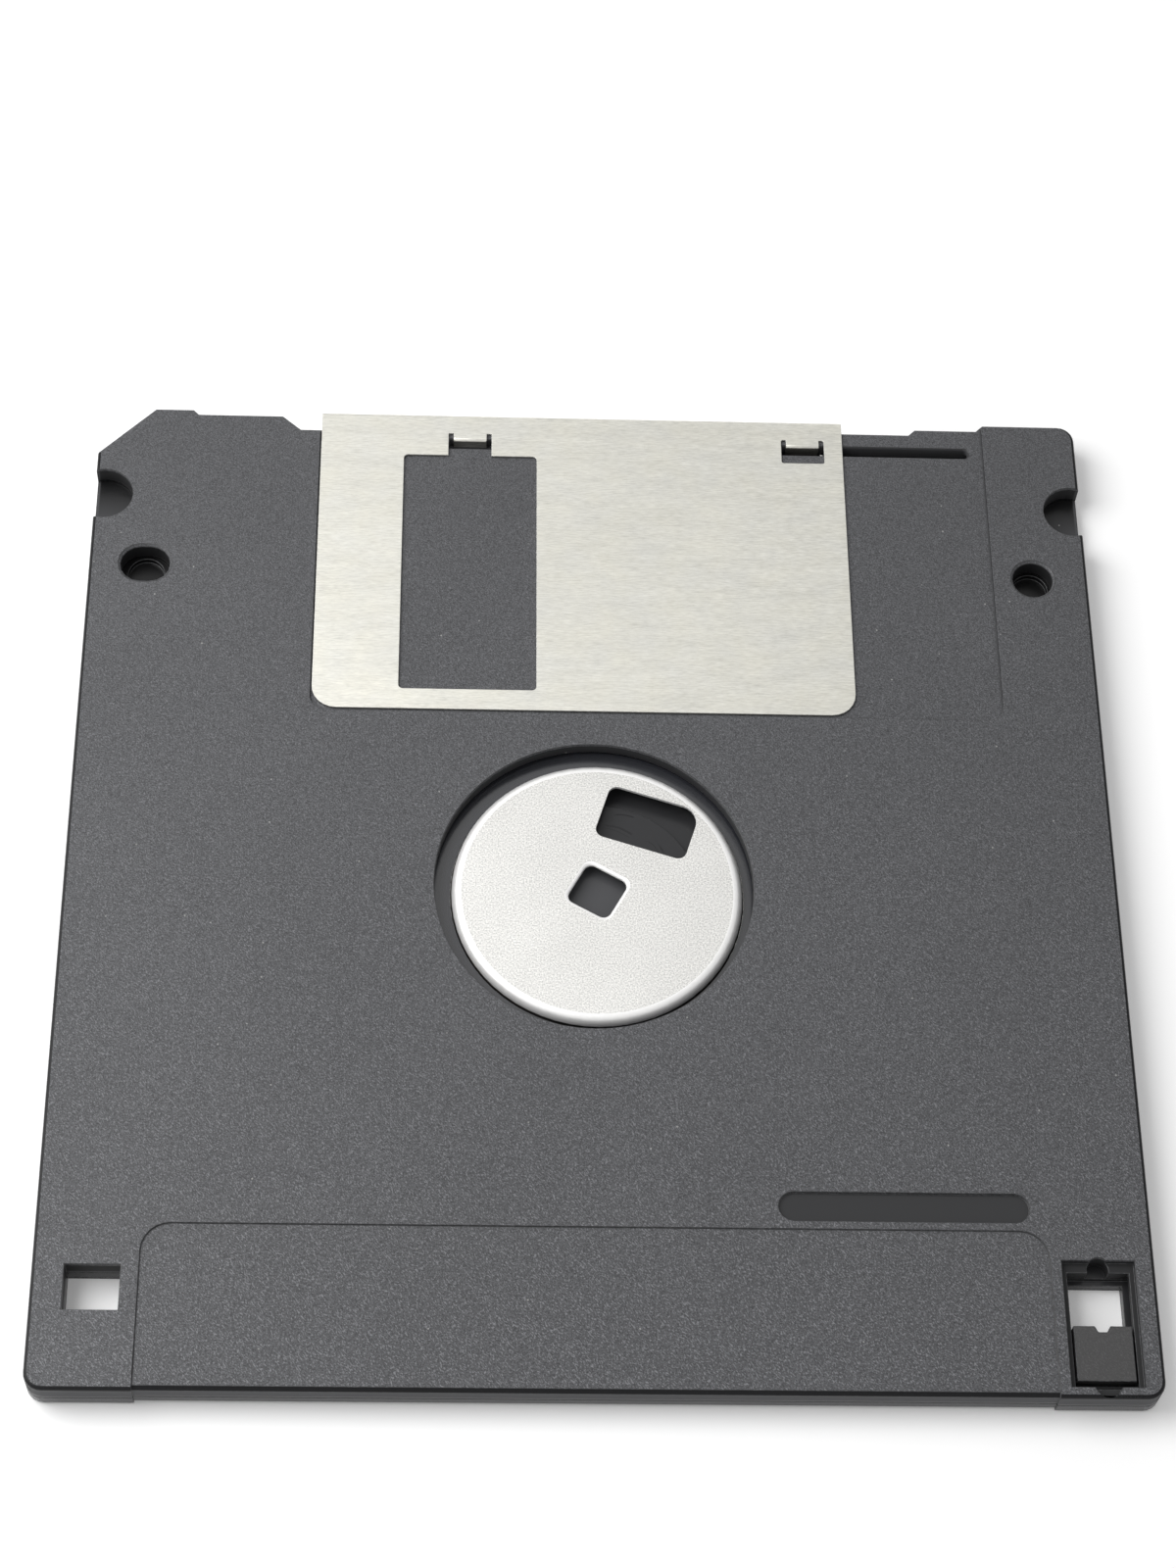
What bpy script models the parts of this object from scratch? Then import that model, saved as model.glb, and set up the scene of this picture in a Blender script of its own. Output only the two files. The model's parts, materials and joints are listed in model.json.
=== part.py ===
"""A 3.5 inch floppy disk, lying with its hub upwards, as the separate pieces that it is built from.

All sizes are in metres. +X is right, +Y points to the shutter's edge and +Z is up.
The origin is under the middle of the case, on the surface that the disk lies on.
"""

import math

import bmesh
import bpy
from mathutils import Matrix, Vector

# Magnetic disc and the stack that it turns in, from the label side upwards
MEDIA_DIAMETER = 0.0858
MEDIA_THICKNESS = 0.00008
MEDIA_CLEARANCE = 0.0009
MEDIA_BORE_CLEARANCE = 0.00012
ADHESIVE_THICKNESS = 0.00006
ADHESIVE_MARGIN = 0.0003
LAYER_GAP = 0.00002
LINER_THICKNESS = 0.00022
LINER_BORE_CLEARANCE = 0.00223
LINER_EDGE_GAP = 0.0006
LINER_SLOT_MARGIN = 0.0015
SEAT_GAP = 0.00003
FLANGE_FLOAT = 0.0002
MEDIA_HEADROOM = 0.00037
DISC_REST_OFFSET_X = 0.0003
DISC_REST_OFFSET_Y = -0.0004

# Hub, a cup stamped from sheet
HUB_DIAMETER = 0.02494
HUB_FLANGE_WIDTH = 0.0023
HUB_SHEET = 0.0003
HUB_FACE_RECESS = 0.0006
HUB_RIM_RADIUS = 0.00085
HUB_FOOT_RADIUS = 0.0001
HUB_SQUARE = 0.004
HUB_SQUARE_CORNER = 0.0007
HUB_SQUARE_TURN = -29.5
HUB_SQUARE_LIP = 0.00028
DRIVE_SLOT_LENGTH = 0.00815
DRIVE_SLOT_WIDTH = 0.00515
DRIVE_SLOT_CORNER = 0.0008
DRIVE_SLOT_WIDE_CORNER = 0.0016
DRIVE_SLOT_TURN = -17.7
DRIVE_SLOT_X = 0.00436
DRIVE_SLOT_Y = 0.0067

# Case, two moulded shells whose walls are set outwards from the disc
SHELL_WALL = 0.001
LABEL_RIM = 0.0004
SEAM_GAP = 0.00004
SIDE_WALL = 0.0012
FRONT_WALL = 0.00145
LEADING_RAIL = 0.00495
RING_WALL = 0.0012
EDGE_ROUNDING = 0.0003
CASE_CORNER_RADIUS = 0.0015
CASE_KEY_CHAMFER = 0.005
POCKET_START = 0.0172
POST_DIAMETER = 0.0022
POST_INSET = 0.0035
HUB_HOLE_CLEARANCE = 0.00118
HUB_RING_WALL = 0.001
HUB_RING_DROP = 0.0003
LABEL_LAND_DIAMETER = 0.018
LABEL_LAND_HEIGHT = 0.0004

# Leading edge, as setbacks from the case's foremost line
KEY_LAND_WIDTH = 0.0035
LEFT_SETBACK = 0.0005
LEFT_SETBACK_WIDTH = 0.0082
LEVER_SETBACK = 0.00197
LEVER_NOTCH_GAP = 0.0019
LEVER_NOTCH_UNDER = 0.0057
FOLD_SETBACK = 0.00117
FOLD_RUN = 0.0063
RIGHT_SETBACK = 0.00058
CORNER_LAND_WIDTH = 0.0085
CORNER_LAND_GAP = 0.0002

# Head window, label recesses and the blank recess with round ends
WINDOW_WIDTH = 0.009
WINDOW_FROM_HUB_RING = 0.0054
WINDOW_PAST_MEDIA = 0.00045
LABEL_WIDTH = 0.073
LABEL_CORNER = 0.00235
LABEL_DEPTH = 0.00015
HUB_SIDE_LABEL_LENGTH = 0.014
LABEL_SIDE_LABEL_LENGTH = 0.052
PILL_LENGTH = 0.0205
PILL_WIDTH = 0.0025
PILL_DEPTH = 0.0003
PILL_FROM_SIDE = 0.0098
PILL_FROM_FRONT = 0.0147

# Holes and notches that the drive reads or locates the disk by
LOCATING_HOLE = 0.0036
LOCATING_SLOT_EXTRA = 0.0008
LOCATING_FROM_SIDE = 0.005
LOCATING_FROM_LEADING = 0.017
LOCATING_LEAD_IN = 0.00022
LOCATING_BLIND_HOLE = 0.0032
LOCATING_BLIND_DEPTH = 0.0005
LOCATING_BOSS_WALL = 0.0014
NOTCH_DIAMETER = 0.00524
NOTCH_FROM_SIDE = 0.00085
NOTCH_FROM_LEADING = 0.00955
NOTCH_WALL = 0.001
DENSITY_HOLE_WIDTH = 0.00445
DENSITY_HOLE_LENGTH = 0.0038
DENSITY_HOLE_FROM_SIDE = 0.0026
DENSITY_HOLE_FROM_FRONT = 0.0066
HOLE_WALL = 0.001
ARROW_LENGTH = 0.005
ARROW_WIDTH = 0.0044
ARROW_DEPTH = 0.0002
ARROW_FROM_SIDE = 0.0125
ARROW_FROM_LEADING = 0.0045

# Write-protect tab and its housing
TAB_WIDTH = 0.00475
TAB_LENGTH = 0.00462
TAB_TRAVEL = 0.0044
TAB_CLEARANCE = 0.0001
TAB_SIDE_CLEARANCE = 0.00015
TAB_SINK = 0.0005
TAB_WING = 0.0005
TAB_WING_THICKNESS = 0.00085
TAB_WING_SHORTFALL = 0.001
TAB_FROM_SIDE = 0.0046
TAB_FROM_FRONT = 0.00155
TAB_NOTCH_MOUTH = 0.00125
TAB_NOTCH_ROOT = 0.00072
TAB_NOTCH_DEPTH = 0.0005
TAB_OPENING_MARGIN = 0.0006
TAB_OPENING_FOOT = 0.00063
TAB_OPENING_END = 0.00095
TAB_LEDGE_SINK = 0.0006
TAB_WINDOW_COVER = 0.00017
TAB_WINDOW_END_COVER = 0.00036
TAB_WINDOW_LENGTH = 0.00395
LOW_FINGER_NOTCH_RADIUS = 0.00115
LOW_FINGER_NOTCH_REACH = 0.0008
HIGH_FINGER_NOTCH_RADIUS = 0.00088
HIGH_FINGER_NOTCH_REACH = 0.00026

# Shutter, one folded sheet, with the groove that its bent tabs run in
SHUTTER_WIDTH = 0.048
SHUTTER_LEFT = -0.0247
SHUTTER_SHEET = 0.0002
SHUTTER_SINK = 0.00002
SHUTTER_GAP = 0.00005
SHUTTER_FOLD_RADIUS = 0.0004
SHUTTER_CORNER = 0.0022
SHUTTER_TRAVEL = 0.0125
RECESS_SIDE_GAP = 0.0001
RECESS_END_GAP = 0.0005
RECESS_FOOT_GAP = 0.00024
RECESS_CORNER = 0.0014
SHUTTER_WINDOW_WIDTH = 0.01215
SHUTTER_WINDOW_FROM_LEFT = 0.0076
SHUTTER_WINDOW_FOOT_MARGIN = 0.00095
SHUTTER_WINDOW_END_MARGIN = 0.0008
SHUTTER_WINDOW_FROM_FOOT = 0.00205
SHUTTER_WINDOW_CORNER = 0.0004
TAB_CUT_WIDTH = 0.00395
TAB_CUT_END = 0.00215
RIGHT_TAB_CUT_LENGTH = 0.00258
LEFT_TAB_FROM_LEFT = 0.01363
RIGHT_TAB_FROM_RIGHT = 0.00368
GUIDE_TAB_WIDTH = 0.00304
GUIDE_TAB_BEND = 0.0003
GUIDE_TAB_FROM_LEADING = 0.00272
LEFT_TAB_DEPTH = 0.00115
RIGHT_TAB_DEPTH = 0.00165
GROOVE_WIDTH = 0.00095
GROOVE_DEPTH = 0.0013
GROOVE_SIDE_GAP = 0.00007
GROOVE_END_GAP = 0.0007
GROOVE_LIP = 0.00018

# Shutter spring
WIRE_DIAMETER = 0.0003
COIL_DIAMETER = 0.004
COIL_TURNS = 2
COIL_GAP = 0.00004
COIL_FROM_SIDE = 0.0095
COIL_FROM_LEADING = 0.0096
COIL_POST_CLEARANCE = 0.00035
SPRING_END_GAP = 0.0001
SPRING_FIXED_END_FROM_RAIL = 0.0007
SPRING_POCKET_GAP = 0.0009

# Lifter leaf, a strip of film bent up towards the liner
LEAF_THICKNESS = 0.0001
LEAF_WIDTH = 0.016
LEAF_GLUED_LENGTH = 0.006
LEAF_FREE_LENGTH = 0.014
LEAF_FROM_CAVITY_EDGE = 0.0138
LEAF_FROM_DISC_CENTRE = 0.00975
LEAF_POCKET_DEPTH = 0.0003
LEAF_POCKET_MARGIN = 0.0004

# Fineness of round shapes, and how far a cutter passes the face that it cuts
SMALL_ARC_STEP = math.radians(15)
SLOT_END_STEPS = 8
LIP_STEPS = 3
DISC_STEPS = 88
HUB_STEPS = 64
HOLE_STEPS = 24
WIRE_STEPS_PER_TURN = 20
OVERSHOOT = 0.0005
MERGE_DISTANCE = 0.0000005
SHARP_ANGLE = math.radians(35)

# Levels worked out from the stack
LABEL_FLOOR = SHELL_WALL
FLANGE_BOTTOM = LABEL_FLOOR + FLANGE_FLOAT
FLANGE_TOP = FLANGE_BOTTOM + HUB_SHEET
ADHESIVE_BOTTOM = FLANGE_TOP + LAYER_GAP
MEDIA_BOTTOM = ADHESIVE_BOTTOM + ADHESIVE_THICKNESS + LAYER_GAP
MEDIA_TOP = MEDIA_BOTTOM + MEDIA_THICKNESS
HUB_CEILING = MEDIA_TOP + MEDIA_HEADROOM + LINER_THICKNESS + SEAT_GAP
CASE_THICKNESS = HUB_CEILING + SHELL_WALL
HUB_FACE = CASE_THICKNESS - HUB_FACE_RECESS
SEAM = LABEL_FLOOR + LABEL_RIM
LABEL_RIM_TOP = SEAM - SEAM_GAP / 2
HUB_RIM_BOTTOM = SEAM + SEAM_GAP / 2

# Places worked out from the disc outwards
MEDIA_RADIUS = MEDIA_DIAMETER / 2
CAVITY_RADIUS = MEDIA_RADIUS + MEDIA_CLEARANCE
SHUTTER_RIGHT = SHUTTER_LEFT + SHUTTER_WIDTH
RECESS_RIGHT = SHUTTER_RIGHT + SHUTTER_TRAVEL + RECESS_END_GAP
WIDTH_FOR_DISC = CAVITY_RADIUS + SIDE_WALL
WIDTH_FOR_SHUTTER = RECESS_RIGHT + CORNER_LAND_GAP + CORNER_LAND_WIDTH
HALF_WIDTH = max(WIDTH_FOR_DISC, WIDTH_FOR_SHUTTER)
CASE_LENGTH = 2 * CAVITY_RADIUS + FRONT_WALL + LEADING_RAIL
LEADING = CASE_LENGTH / 2
FRONT = -LEADING
CENTRE_Y = FRONT + FRONT_WALL + CAVITY_RADIUS
DISC_CENTRE = Vector((DISC_REST_OFFSET_X, CENTRE_Y + DISC_REST_OFFSET_Y, 0))
HUB_RADIUS = HUB_DIAMETER / 2
FLANGE_RADIUS = HUB_RADIUS + HUB_FLANGE_WIDTH
HUB_HOLE_RADIUS = HUB_RADIUS + HUB_HOLE_CLEARANCE
HUB_RING_RADIUS = HUB_HOLE_RADIUS + HUB_RING_WALL
LINER_BORE_RADIUS = FLANGE_RADIUS + LINER_BORE_CLEARANCE
WINDOW_START = HUB_RING_RADIUS + WINDOW_FROM_HUB_RING
WINDOW_END = MEDIA_RADIUS + WINDOW_PAST_MEDIA
RECESS_DEPTH = SHUTTER_SINK + SHUTTER_SHEET + SHUTTER_GAP
SHUTTER_TOP = CASE_THICKNESS - SHUTTER_SINK
SHUTTER_WINDOW_FOOT = CENTRE_Y + WINDOW_START - SHUTTER_WINDOW_FOOT_MARGIN
SHUTTER_WINDOW_END = CENTRE_Y + WINDOW_END + SHUTTER_WINDOW_END_MARGIN
SHUTTER_FOOT = SHUTTER_WINDOW_FOOT - SHUTTER_WINDOW_FROM_FOOT
GUIDE_TAB_BACK = LEADING - GUIDE_TAB_FROM_LEADING
GROOVE_LEADING = GUIDE_TAB_BACK + GROOVE_SIDE_GAP
GROOVE_FOOT = GROOVE_LEADING - GROOVE_WIDTH
GROOVE_FLOOR = CASE_THICKNESS - GROOVE_DEPTH
LEFT_TAB_X = SHUTTER_LEFT + LEFT_TAB_FROM_LEFT
RIGHT_TAB_X = SHUTTER_RIGHT - RIGHT_TAB_FROM_RIGHT
SPRING_POCKET_START = RIGHT_TAB_X - GUIDE_TAB_WIDTH / 2 - SPRING_POCKET_GAP
TAB_X = HALF_WIDTH - TAB_FROM_SIDE
TAB_Y = FRONT + TAB_FROM_FRONT
TAB_END_Y = TAB_Y + TAB_LENGTH + TAB_TRAVEL
TAB_BOTTOM = LABEL_FLOOR + TAB_CLEARANCE / 2
TAB_TOP = CASE_THICKNESS - TAB_SINK
WING_TOP = TAB_BOTTOM + TAB_WING_THICKNESS
LEDGE_BOTTOM = WING_TOP + TAB_CLEARANCE
LEDGE_TOP = CASE_THICKNESS - TAB_LEDGE_SINK
LOCATING_X = HALF_WIDTH - LOCATING_FROM_SIDE
LOCATING_Y = LEADING - LOCATING_FROM_LEADING
NOTCH_X = HALF_WIDTH - NOTCH_FROM_SIDE
NOTCH_Y = LEADING - NOTCH_FROM_LEADING
DENSITY_X = -HALF_WIDTH + DENSITY_HOLE_FROM_SIDE
DENSITY_Y = FRONT + DENSITY_HOLE_FROM_FRONT
COIL_X = HALF_WIDTH - COIL_FROM_SIDE
COIL_Y = LEADING - COIL_FROM_LEADING
LEAF_LEFT = LEAF_FROM_CAVITY_EDGE - CAVITY_RADIUS
LEAF_FOOT = CENTRE_Y + LEAF_FROM_DISC_CENTRE


def clear_scene():
    for thing in list(bpy.data.objects):
        bpy.data.objects.remove(thing, do_unlink=True)


def coloured(name, colour, roughness, metallic=0.0):
    """A plain surface with a linear colour."""
    material = bpy.data.materials.new(name)
    material.use_nodes = True
    surface = material.node_tree.nodes["Principled BSDF"]
    surface.inputs["Base Color"].default_value = (*colour, 1.0)
    surface.inputs["Roughness"].default_value = roughness
    surface.inputs["Metallic"].default_value = metallic
    return material


def arc(x, y, radius, start, end, steps):
    """Points along an arc, from one angle to another in degrees."""
    turns = [math.radians(start + (end - start) * step / steps) for step in range(steps + 1)]
    return [(x + radius * math.cos(turn), y + radius * math.sin(turn)) for turn in turns]


def circle(x, y, radius, steps=HOLE_STEPS):
    return arc(x, y, radius, 0, 360, steps)[:-1]


def rounded(corners):
    """The outline through corners given as (x, y, radius), with an arc at each corner that has a radius."""
    outline = []
    for index, (x, y, radius) in enumerate(corners):
        corner = Vector((x, y))
        if not radius:
            outline.append((x, y))
            continue
        before = (Vector(corners[index - 1][:2]) - corner).normalized()
        after = (Vector(corners[(index + 1) % len(corners)][:2]) - corner).normalized()
        half = before.angle(after) / 2
        centre = corner + (before + after).normalized() * (radius / math.sin(half))
        first = corner + before * (radius / math.tan(half)) - centre
        last = corner + after * (radius / math.tan(half)) - centre
        start = math.atan2(first.y, first.x)
        turn = (math.atan2(last.y, last.x) - start + math.pi) % math.tau - math.pi
        steps = max(1, round(abs(turn) / SMALL_ARC_STEP))
        start, end = math.degrees(start), math.degrees(start + turn)
        outline += arc(centre.x, centre.y, radius, start, end, steps)
    return outline


def rectangle(x0, x1, y0, y1, radius=0.0):
    return rounded([(x0, y0, radius), (x1, y0, radius), (x1, y1, radius), (x0, y1, radius)])


def round_ended(x0, x1, y0, y1):
    """The outline of a slot along X, with a half circle at each end."""
    radius, y = (y1 - y0) / 2, (y0 + y1) / 2
    right_end = arc(x1 - radius, y, radius, -90, 90, SLOT_END_STEPS)
    left_end = arc(x0 + radius, y, radius, 90, 270, SLOT_END_STEPS)
    return right_end + left_end


def finished(name, shape):
    """Turns a bmesh into an object of the scene, with its faces out."""
    bmesh.ops.recalc_face_normals(shape, faces=shape.faces)
    mesh = bpy.data.meshes.new(name)
    shape.to_mesh(mesh)
    shape.free()
    piece = bpy.data.objects.new(name, mesh)
    bpy.context.scene.collection.objects.link(piece)
    return piece


def drawn_up(shape, outline, low, high):
    """Draws an outline at one height and extrudes it to another. Returns the end face."""
    base = shape.faces.new([shape.verts.new((x, y, low)) for x, y in outline])
    grown = bmesh.ops.extrude_face_region(shape, geom=[base])["geom"]
    raised = [item for item in grown if isinstance(item, bmesh.types.BMVert)]
    bmesh.ops.translate(shape, verts=raised, vec=(0, 0, high - low))
    bmesh.ops.recalc_face_normals(shape, faces=shape.faces)
    return next(item for item in grown if isinstance(item, bmesh.types.BMFace))


def extruded(name, outline, low, high):
    shape = bmesh.new()
    drawn_up(shape, outline, low, high)
    return finished(name, shape)


def block(name, x0, x1, y0, y1, low, high):
    return extruded(name, rectangle(x0, x1, y0, y1), low, high)


def extruded_along_x(name, profile, x0, x1):
    """Extrudes a profile of (y, z) points along X."""
    piece = extruded(name, profile, x0, x1)
    piece.data.transform(Matrix(((0, 0, 1, 0), (1, 0, 0, 0), (0, 1, 0, 0), (0, 0, 0, 1))))
    return piece


def quarter_turns(steps):
    return [math.pi / 2 * step / steps for step in range(steps + 1)]


def flared_cutter(name, outline, centre, low, face, lead_in, steps=1):
    """A cutter that widens just below the face that it opens in, straight in one step or rounded in several."""
    shape = bmesh.new()
    end = drawn_up(shape, outline, low, face - lead_in)
    reach_x = max(abs(x - centre[0]) for x, y in outline)
    reach_y = max(abs(y - centre[1]) for x, y in outline)
    middle = Matrix.Translation((-centre[0], -centre[1], 0))
    flare = [(lead_in * math.sin(turn), lead_in * (1 - math.cos(turn))) for turn in quarter_turns(steps)]
    rises = [(high[0] - low[0], high[1] - low[1]) for low, high in zip(flare, flare[1:])]
    for rise, spread in (*rises, (OVERSHOOT, 0)):
        grown = bmesh.ops.extrude_face_region(shape, geom=[end])["geom"]
        bmesh.ops.delete(shape, geom=[end], context="FACES_ONLY")
        end = next(item for item in grown if isinstance(item, bmesh.types.BMFace))
        bmesh.ops.translate(shape, verts=end.verts, vec=(0, 0, rise))
        stretch = (1 + spread / reach_x, 1 + spread / reach_y, 1)
        bmesh.ops.scale(shape, verts=end.verts, vec=stretch, space=middle)
        reach_x, reach_y = reach_x + spread, reach_y + spread
    return finished(name, shape)


def turned(name, profile, steps):
    """Turns a closed or axis-ended profile of (radius, z) points about Z."""
    shape = bmesh.new()
    points = [shape.verts.new((radius, 0, z)) for radius, z in profile]
    edges = [shape.edges.new(pair) for pair in zip(points, points[1:])]
    if profile[0][0] > 0:
        edges.append(shape.edges.new((points[-1], points[0])))
    spun = {"cent": (0, 0, 0), "axis": (0, 0, 1), "angle": math.tau, "steps": steps}
    bmesh.ops.spin(shape, geom=points + edges, use_merge=True, **spun)
    bmesh.ops.remove_doubles(shape, verts=shape.verts, dist=MERGE_DISTANCE)
    return finished(name, shape)


def turned_ring(name, outer, inner, low, high, steps=DISC_STEPS):
    return turned(name, [(inner, low), (outer, low), (outer, high), (inner, high)], steps)


def combine(piece, operation, tools):
    for tool in tools:
        step = piece.modifiers.new(tool.name, "BOOLEAN")
        step.operation = operation
        step.object = tool
        tool.hide_render = True
        tool.display_type = "WIRE"
    bpy.context.view_layer.update()
    made = piece.evaluated_get(bpy.context.evaluated_depsgraph_get())
    mesh = bpy.data.meshes.new_from_object(made)
    piece.modifiers.clear()
    piece.data = mesh
    for tool in tools:
        bpy.data.objects.remove(tool, do_unlink=True)


def cut(piece, *tools):
    combine(piece, "DIFFERENCE", tools)


def join(piece, *parts):
    combine(piece, "UNION", parts)


def keep_inside(piece, *limits):
    combine(piece, "INTERSECT", limits)


def coat(piece, material):
    """Gives a finished piece its material and its shading."""
    piece.data.materials.clear()
    piece.data.materials.append(material)
    piece.data.shade_smooth()
    piece.data.set_sharp_from_angle(angle=SHARP_ANGLE)
    return piece


def case_outline():
    """The case seen from above, with its keyed corner and the setbacks of its leading edge."""
    key = HALF_WIDTH - CASE_KEY_CHAMFER
    land_end = -key + KEY_LAND_WIDTH
    notch_left = land_end + LEFT_SETBACK_WIDTH
    lever_left = SHUTTER_LEFT - LEVER_NOTCH_GAP
    lever_right = SHUTTER_LEFT + LEVER_NOTCH_UNDER
    fold_end = SHUTTER_RIGHT + FOLD_RUN
    land_start = HALF_WIDTH - CORNER_LAND_WIDTH
    return rounded(
        [
            (-HALF_WIDTH, FRONT, CASE_CORNER_RADIUS),
            (HALF_WIDTH, FRONT, CASE_CORNER_RADIUS),
            (HALF_WIDTH, LEADING, CASE_CORNER_RADIUS),
            (land_start, LEADING, 0),
            (land_start - RIGHT_SETBACK, LEADING - RIGHT_SETBACK, 0),
            (fold_end + FOLD_SETBACK - RIGHT_SETBACK, LEADING - RIGHT_SETBACK, 0),
            (fold_end, LEADING - FOLD_SETBACK, 0),
            (lever_right + LEVER_SETBACK - FOLD_SETBACK, LEADING - FOLD_SETBACK, 0),
            (lever_right, LEADING - LEVER_SETBACK, 0),
            (lever_left, LEADING - LEVER_SETBACK, 0),
            (notch_left, LEADING - LEFT_SETBACK, 0),
            (land_end + LEFT_SETBACK, LEADING - LEFT_SETBACK, 0),
            (land_end, LEADING, 0),
            (-key, LEADING, 0),
            (-HALF_WIDTH, LEADING - CASE_KEY_CHAMFER, 0),
        ]
    )


def shell_blank(name, seam, face):
    """The case's outline from its seam to its outer face, with the outer edge rounded in two steps."""
    outward = 1 if face > seam else -1
    shape = bmesh.new()
    end = drawn_up(shape, case_outline(), seam, face - outward * EDGE_ROUNDING)
    for share in (math.sin(math.pi / 4), 1 - math.sin(math.pi / 4)):
        inward = EDGE_ROUNDING * (1 - share)
        bmesh.ops.inset_region(
            shape, faces=[end], thickness=inward, depth=EDGE_ROUNDING * share, use_even_offset=True
        )
    return finished(name, shape)


def corner_pockets(low, high):
    """The four hollow corners of a shell, left between the ring round the disc, the outer walls and the bosses."""
    key = LEADING - CASE_KEY_CHAMFER + HALF_WIDTH - SIDE_WALL * math.sqrt(2)
    left = -HALF_WIDTH + SIDE_WALL
    walls = [
        (left, FRONT + FRONT_WALL),
        (-left, FRONT + FRONT_WALL),
        (-left, GROOVE_LEADING),
        (GROOVE_LEADING - key, GROOVE_LEADING),
        (left, key + left),
    ]
    pockets = extruded("corner_pockets", walls, low, high)
    under, over = low - OVERSHOOT, high + OVERSHOOT
    wide = HALF_WIDTH + OVERSHOOT
    cut(
        pockets,
        extruded("ring", circle(0, CENTRE_Y, CAVITY_RADIUS + RING_WALL, DISC_STEPS), under, over),
        block("front_middle", -POCKET_START, POCKET_START, FRONT, CENTRE_Y, under, over),
        block("leading_middle", -POCKET_START, SPRING_POCKET_START, CENTRE_Y, LEADING, under, over),
        block("belt", -wide, wide, CENTRE_Y - POCKET_START, CENTRE_Y + POCKET_START, under, over),
        extruded("left_notch_wall", circle(-NOTCH_X, NOTCH_Y, notch_wall_radius()), under, over),
        extruded("right_notch_wall", circle(NOTCH_X, NOTCH_Y, notch_wall_radius()), under, over),
        extruded("left_boss", circle(-LOCATING_X, LOCATING_Y, boss_radius()), under, over),
        extruded("right_boss", circle(LOCATING_X, LOCATING_Y, boss_radius()), under, over),
        block(
            "density_wall",
            -wide,
            DENSITY_X + DENSITY_HOLE_WIDTH + HOLE_WALL,
            DENSITY_Y - HOLE_WALL,
            DENSITY_Y + DENSITY_HOLE_LENGTH + HOLE_WALL,
            under,
            over,
        ),
        block(
            "tab_housing",
            TAB_X - wing_half_width() - TAB_CLEARANCE - HOLE_WALL,
            wide,
            FRONT,
            TAB_END_Y + TAB_OPENING_END + HOLE_WALL,
            under,
            over,
        ),
    )
    return pockets


def notch_wall_radius():
    return NOTCH_DIAMETER / 2 + NOTCH_WALL


def boss_radius():
    return (LOCATING_HOLE + LOCATING_SLOT_EXTRA) / 2 + LOCATING_BOSS_WALL


def wing_half_width():
    return TAB_WIDTH / 2 + TAB_WING


def wing_pocket(low, high):
    side = wing_half_width() + TAB_CLEARANCE
    foot = TAB_Y - TAB_CLEARANCE
    end = TAB_END_Y + TAB_CLEARANCE
    return block("wing_pocket", TAB_X - side, TAB_X + side, foot, end, low, high)


def post_places():
    """Where the welded posts stand: two in each corner pocket, clear of the bosses there."""
    side = HALF_WIDTH - SIDE_WALL - POST_DIAMETER
    front = FRONT + FRONT_WALL + POST_DIAMETER
    edge = LOCATING_Y - boss_radius() - POST_INSET / 2
    low = DENSITY_Y + DENSITY_HOLE_LENGTH + HOLE_WALL + POST_INSET
    inner = DENSITY_X + DENSITY_HOLE_WIDTH + HOLE_WALL + POST_INSET
    return [(-side, edge), (side, edge), (-side, low), (side, low), (inner, front), (-inner, front)]


def label_cutter(name, length, face, outward):
    """The label's shallow recess in one face, carried on round the front edge."""
    skin = EDGE_ROUNDING + LABEL_DEPTH
    floor = face - outward * LABEL_DEPTH
    below = face - outward * skin
    past = face + outward * OVERSHOOT
    seam = SEAM - outward * OVERSHOOT
    profile = [
        (FRONT + length, past),
        (FRONT + length, floor),
        (FRONT + skin, floor),
        (FRONT + LABEL_DEPTH, below),
        (FRONT + LABEL_DEPTH, seam),
        (FRONT - OVERSHOOT, seam),
        (FRONT - OVERSHOOT, past),
    ]
    recess = extruded_along_x(name, profile, -LABEL_WIDTH / 2, LABEL_WIDTH / 2)
    wide = LABEL_WIDTH / 2
    plan = rounded(
        [
            (-wide, FRONT - 2 * OVERSHOOT, 0),
            (wide, FRONT - 2 * OVERSHOOT, 0),
            (wide, FRONT + length, LABEL_CORNER),
            (-wide, FRONT + length, LABEL_CORNER),
        ]
    )
    reach = CASE_THICKNESS + 2 * OVERSHOOT
    keep_inside(recess, extruded("label_plan", plan, -2 * OVERSHOOT, reach))
    return recess


def shutter_recess(name, low, high):
    """The shallow bed that one flap of the shutter slides in."""
    outline = rounded(
        [
            (SHUTTER_LEFT - RECESS_SIDE_GAP, SHUTTER_FOOT - RECESS_FOOT_GAP, RECESS_CORNER),
            (RECESS_RIGHT, SHUTTER_FOOT - RECESS_FOOT_GAP, RECESS_CORNER),
            (RECESS_RIGHT, LEADING + OVERSHOOT, 0),
            (SHUTTER_LEFT - RECESS_SIDE_GAP, LEADING + OVERSHOOT, 0),
        ]
    )
    return extruded(name, outline, low, high)


def head_window(low, high):
    start, end = CENTRE_Y + WINDOW_START, CENTRE_Y + WINDOW_END
    side = WINDOW_WIDTH / 2
    return block("head_window", -side, side, start, end, low, high)


def density_hole(low, high):
    right = DENSITY_X + DENSITY_HOLE_WIDTH
    top = DENSITY_Y + DENSITY_HOLE_LENGTH
    return block("density_hole", DENSITY_X, right, DENSITY_Y, top, low, high)


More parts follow.
